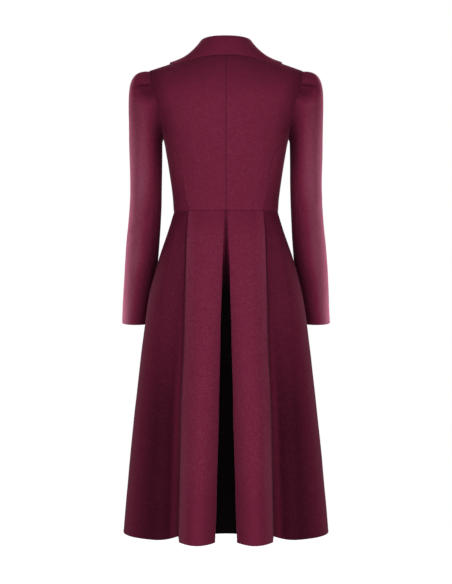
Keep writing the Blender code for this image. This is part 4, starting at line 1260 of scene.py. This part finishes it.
def shoulder_rise(x, z, face):
    """How much of the outward direction of the bodice points up."""
    step = 0.2
    if z > shoulder_height(x) - step:
        return LEVEL
    z = min(z, shoulder_height(x) - 3 * step)
    slope_x = (bodice_y(x + step, z, face) - bodice_y(x - step, z, face)) / (2 * step)
    slope_z = (bodice_y(x, z + step, face) - bodice_y(x, z - step, face)) / (2 * step)
    return -slope_z * face / sqrt(1 + slope_x**2 + slope_z**2)


def over_shoulder(point):
    """Lift a point of the fall until the collar clears the bodice below it."""
    z = shoulder_z(point.x, point.y)
    rise = shoulder_rise(point.x, z, BEHIND if point.y >= 0 else BEFORE)
    clear = z + (COLLAR_CLOTH + COLLAR_GAP) / max(rise, STEEP)
    return Vector((point.x, point.y, max(point.z, clear)))


def neck_point(station):
    """A point of the neck edge, from the nape round the back and down the front edge."""
    if station <= SIDE_NECK:
        x = NECK_X * sin(station / SIDE_NECK * pi / 2)
        z = NAPE_Z * (1 - (x / NECK_X) ** 2)
        return Vector((x, bodice_y(x, z, BEHIND), z))
    z = COLLAR_END_Z * ((station - SIDE_NECK) / (COLLAR[-1].station - SIDE_NECK)) ** 1.2
    x = straight(FRONT_EDGE, z)
    return Vector((x, bodice_y(x, z, BEFORE), z))


def collar_section(station):
    """From the seam at the neck up the stand, over the roll and down the fall to the outer edge."""
    row = Collar(station, *(collar(station, name) for name in Collar._fields[1:]))
    roll = Vector((row.roll_x, row.roll_y, row.roll_z))
    edge = over_shoulder(Vector((row.edge_x, row.edge_y, FAR_BELOW)))
    bow = roll + (edge - roll) * row.bow_out
    bow.z = edge.z + (roll.z - edge.z) * row.bow_up
    out = Vector((bow.x - roll.x, bow.y - roll.y, 0)).normalized()
    seat = neck_point(station) - out * (COLLAR_CLOTH + SEAM_GAP) + Vector((0, 0, SEAM_GAP))
    turn = min(ROLL_RADIUS, (roll - seat).length * 0.45)
    stand_top = roll - Vector((0, 0, turn))
    fall_top = roll + out * turn * 1.5 - Vector((0, 0, turn * 0.5))
    over = (roll + out * turn * 0.5) * 2 - (stand_top + fall_top) / 2
    line = [seat.lerp(stand_top, k / STAND_STEPS) for k in range(STAND_STEPS)]
    line += [bezier(stand_top, over, fall_top, k / ROLL_STEPS) for k in range(ROLL_STEPS)]
    line += [over_shoulder(bezier(fall_top, bow, edge, k / FALL_STEPS)) for k in range(FALL_STEPS + 1)]
    return line


half = [collar_section(station) for station in steps(0, COLLAR[-1].station, STATION_STEPS)]
grid = mirror(half[:0:-1]) + half
directions = outward(grid, (0, 1, 0), at=(STATION_STEPS, -1))
sew_piece("collar", grid, directions, wool, "folded", ["back_bodice_left", "back_bodice_right"],
          thickness=COLLAR_CLOTH, turn=COLLAR_TURN, nap=lambda point, run: COLLAR_PAINTED_SHADE)
report_cut("collar")

# %% [markdown]
# ## Buttons
# Three plain buttons close the front. They are polished horn, sawn and turned, which gives a dark gloss
# with faint streaks. Each is a turned outline with a dished middle and four holes, sewn on with thread
# that crosses the dish, and each passes through a worked buttonhole.

# %% Horn and thread
STREAK = 0.004  # width of the streaks that layers of horn leave
horn, tree = new_material("polished_dark_horn")
place = add_node(tree, "ShaderNodeTexCoord")
layers = add_node(tree, "ShaderNodeMapping",
                  {"Vector": place.outputs["Object"], "Scale": (1, 0.4, 3.0)})
streaks = add_node(tree, "ShaderNodeTexNoise",
                   {"Vector": layers.outputs[0], "Scale": 1 / STREAK, "Detail": 3.0, "Distortion": 1.2})
tint = add_node(tree, "ShaderNodeMix",
                {0: streaks.outputs["Fac"], 6: linear("#1a0a0e"), 7: linear("#46202a")}, data_type="RGBA")
polish = add_node(tree, "ShaderNodeMapRange",
                  {"Value": streaks.outputs["Fac"], "To Min": 0.18, "To Max": 0.34})
shader = add_node(tree, "ShaderNodeBsdfPrincipled",
                  {"Base Color": tint.outputs[2], "Roughness": polish.outputs[0], "IOR": 1.55,
                   "Coat Weight": 0.25, "Coat Roughness": 0.12})
add_node(tree, "ShaderNodeOutputMaterial", {"Surface": shader.outputs[0]})
THREAD_SHADES = ("#7a3048", "#5c1c30", "#3c0f1f", "#c07a90")
thread = brushed_wool("wine_sewing_thread", *THREAD_SHADES, sheen=0.1, relief=0.6)
SMALL_EDGE = radians(40)


def add_part(name, bm, material):
    """A small piece from a bmesh in metres."""
    bmesh.ops.recalc_face_normals(bm, faces=bm.faces)
    mesh = bpy.data.meshes.new(name)
    bm.to_mesh(mesh)
    bm.free()
    mesh.materials.append(material)
    mesh.shade_smooth()
    mesh.set_sharp_from_angle(angle=SMALL_EDGE)
    part = bpy.data.objects.new(name, mesh)
    scene.collection.objects.link(part)
    return part


# %% Shapes of a button
BUTTON_RADIUS, BUTTON_THICK, BUTTON_SIDES = 14.0, 4.0, 64
HOLE_OFF, HOLE_RADIUS, HOLE_SIDES = 2.6, 1.1, 20
HOLE_CORNERS = ((1, 1), (1, -1), (-1, -1), (-1, 1))
DRILL_FROM, DRILL_TO = Vector((0, 0, -3)), Vector((0, 0, 9))  # well past both faces
THREAD = 0.55  # half the thickness of the sewing thread
SUNK, DISH = 1.0, 3.1  # heights of the thread in a hole and on the dished middle
THREAD_SHARES = (0.0, 0.04, 0.5, 0.96, 1.0)  # where it leaves a hole, crosses over and goes down again
Turned = namedtuple("Turned", "radius height")
BUTTON_OUTLINE = [
    Turned(0.30, 0.66), Turned(0.56, 0.68), Turned(0.66, 0.74), Turned(0.71, 0.88), Turned(0.77, 0.97),
    Turned(0.84, 1.0), Turned(0.91, 0.98), Turned(0.965, 0.87), Turned(0.995, 0.68), Turned(1.0, 0.42),
    Turned(0.985, 0.18), Turned(0.94, 0.03), Turned(0.88, 0.0),
]


def round_angles(count):
    """Evenly spaced angles of one full turn."""
    return [2 * pi * k / count for k in range(count)]


def tube(bm, points, radius, sides=8, closed=False):
    """A round tube through points, with flat ends unless it is closed."""
    rings = []
    count = len(points)
    for k, point in enumerate(points):
        ahead = points[(k + 1) % count] if closed or k + 1 < count else point
        behind = points[k - 1] if closed or k else point
        turn = (ahead - behind).to_track_quat("Z", "Y")
        spots = [turn @ Vector((cos(a), sin(a), 0)) for a in round_angles(sides)]
        rings.append([bm.verts.new((point + spot * radius) * MM) for spot in spots])
    for k in range(count if closed else count - 1):
        for s in range(sides):
            first, second = rings[k], rings[(k + 1) % count]
            bm.faces.new((first[s - 1], first[s], second[s], second[s - 1]))
    if not closed:
        bm.faces.new(rings[0][::-1])
        bm.faces.new(rings[-1])


def turned_button():
    """A button turned from its outline, lying flat with its back at height 0."""
    bm = bmesh.new()
    rings = []
    for row in BUTTON_OUTLINE:
        radius, height = row.radius * BUTTON_RADIUS, row.height * BUTTON_THICK
        spots = [Vector((radius * cos(a), radius * sin(a), height)) for a in round_angles(BUTTON_SIDES)]
        rings.append([bm.verts.new(spot * MM) for spot in spots])
    for upper, lower in zip(rings, rings[1:]):
        for k in range(BUTTON_SIDES):
            bm.faces.new((upper[k - 1], lower[k - 1], lower[k], upper[k]))
    bm.faces.new(rings[0])
    bm.faces.new(rings[-1][::-1])
    return bm


def drill_button(button):
    """Cut the four holes out of a button that lies flat."""
    drill = bmesh.new()
    for x, y in HOLE_CORNERS:
        hole = Vector((x * HOLE_OFF, y * HOLE_OFF, 0))
        tube(drill, [hole + DRILL_FROM, hole + DRILL_TO], HOLE_RADIUS, HOLE_SIDES)
    bmesh.ops.recalc_face_normals(drill, faces=drill.faces)
    drill_mesh = bpy.data.meshes.new("drill")
    drill.to_mesh(drill_mesh)
    drill.free()
    bits = bpy.data.objects.new("drill", drill_mesh)
    scene.collection.objects.link(bits)
    cut = button.modifiers.new("holes", "BOOLEAN")
    cut.object, cut.operation, cut.solver = bits, "DIFFERENCE", "EXACT"
    drilled = bpy.data.meshes.new_from_object(button.evaluated_get(bpy.context.evaluated_depsgraph_get()))
    button.modifiers.clear()
    button.data = drilled
    bpy.data.objects.remove(bits, do_unlink=True)


def crossed_thread():
    """Two strands that cross the dished middle from hole to hole, one over the other."""
    bm = bmesh.new()
    for side in SIDES.values():
        start, end = (Vector((s * HOLE_OFF, s * HOLE_OFF * side, 0)) for s in (-1, 1))
        heights = (SUNK, DISH, DISH + THREAD * (2 - side), DISH, SUNK)
        points = [start.lerp(end, s) + Vector((0, 0, h)) for s, h in zip(THREAD_SHARES, heights)]
        tube(bm, points, THREAD)
    return bm


print("button outline of", len(BUTTON_OUTLINE), "turned rings")

# %% Turn, drill and sew on the buttons
BUTTON_HEIGHTS = (-275.0, -325.0, -375.0)
BUTTON_SEAT = 0.5  # its back stands this far off the cloth


def button_seat(z):
    """Where a button's back lies, and the turn that faces it outward."""
    step = 2.0
    lean = (bodice_y(0.0, z + step, BEFORE) - bodice_y(0.0, z - step, BEFORE)) / (2 * step)
    facing = Vector((0, -1, lean)).normalized()
    seat = Vector((0, bodice_y(0.0, z, BEFORE), z)) + facing * BUTTON_SEAT
    return seat, facing.to_track_quat("Z", "Y")


def place_on_front(part, seat, facing):
    """Turn a part that was made lying flat to face outward, and set it on its seat."""
    part.data.transform(Matrix.Translation(seat * MM) @ facing.to_matrix().to_4x4())
    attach(part, "root")


for number, z in enumerate(BUTTON_HEIGHTS, 1):
    seat, facing = button_seat(z)
    button = add_part(f"button_{number}_horn", turned_button(), horn)
    drill_button(button)
    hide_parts(f"button_{number}")
    place_on_front(button, seat, facing)
    strands = add_part(f"button_{number}_thread", crossed_thread(), thread)
    place_on_front(strands, seat, facing)
print("buttons of", 2 * BUTTON_RADIUS, "mm")

# %% Work the buttonholes
SLIT_FROM, SLIT_TO = -25.0, 3.0  # across the right front, so that the inner end shows beside the button
SLIT_HALF, SLIT_STEPS, SLIT_LIFT = 0.9, 20, 0.2
BAR_HALF, BAR_STEPS, BAR_LIFT = 1.8, 4, 0.4  # the bar that closes the inner end


def on_front(x, z, lift):
    """A point on the cloth of the right front, lifted off its face."""
    point = Vector((x, bodice_y(x, z, BEFORE), z))
    height, _ = crease_height("front_bodice_right", point, Vector((0, -1, 0)))
    return point - Vector((0, height + lift, 0))


for number, z in enumerate(BUTTON_HEIGHTS, 1):
    bm = bmesh.new()
    across = steps(SLIT_FROM, SLIT_TO, SLIT_STEPS)
    loop = [on_front(x, z + SLIT_HALF, SLIT_LIFT) for x in across]
    loop += [on_front(x, z - SLIT_HALF, SLIT_LIFT) for x in across[::-1]]
    tube(bm, loop, THREAD, closed=True)
    tube(bm, [on_front(SLIT_FROM, z + BAR_HALF * s, BAR_LIFT) for s in steps(-1, 1, BAR_STEPS)], THREAD)
    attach(add_part(f"buttonhole_{number}", bm, thread), "root")
print("buttonholes of", SLIT_TO - SLIT_FROM, "mm")

# %% [markdown]
# The box of the solids and the box of the dressed coat, whose cloth may stand a little proud, are
# printed side by side, with the count of triangles.

# %% Print the boxes and the triangles
visual_box = [list(corner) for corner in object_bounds()]
for name, low, high in (("cad", *cad_box), ("visual", *visual_box)):
    print(name, [round((b - a) * 1000, 1) for a, b in zip(low, high)], "mm")
meshes = [piece.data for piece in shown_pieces() if piece.type == "MESH"]
print("triangles", sum(len(face.vertices) - 2 for mesh in meshes for face in mesh.polygons))
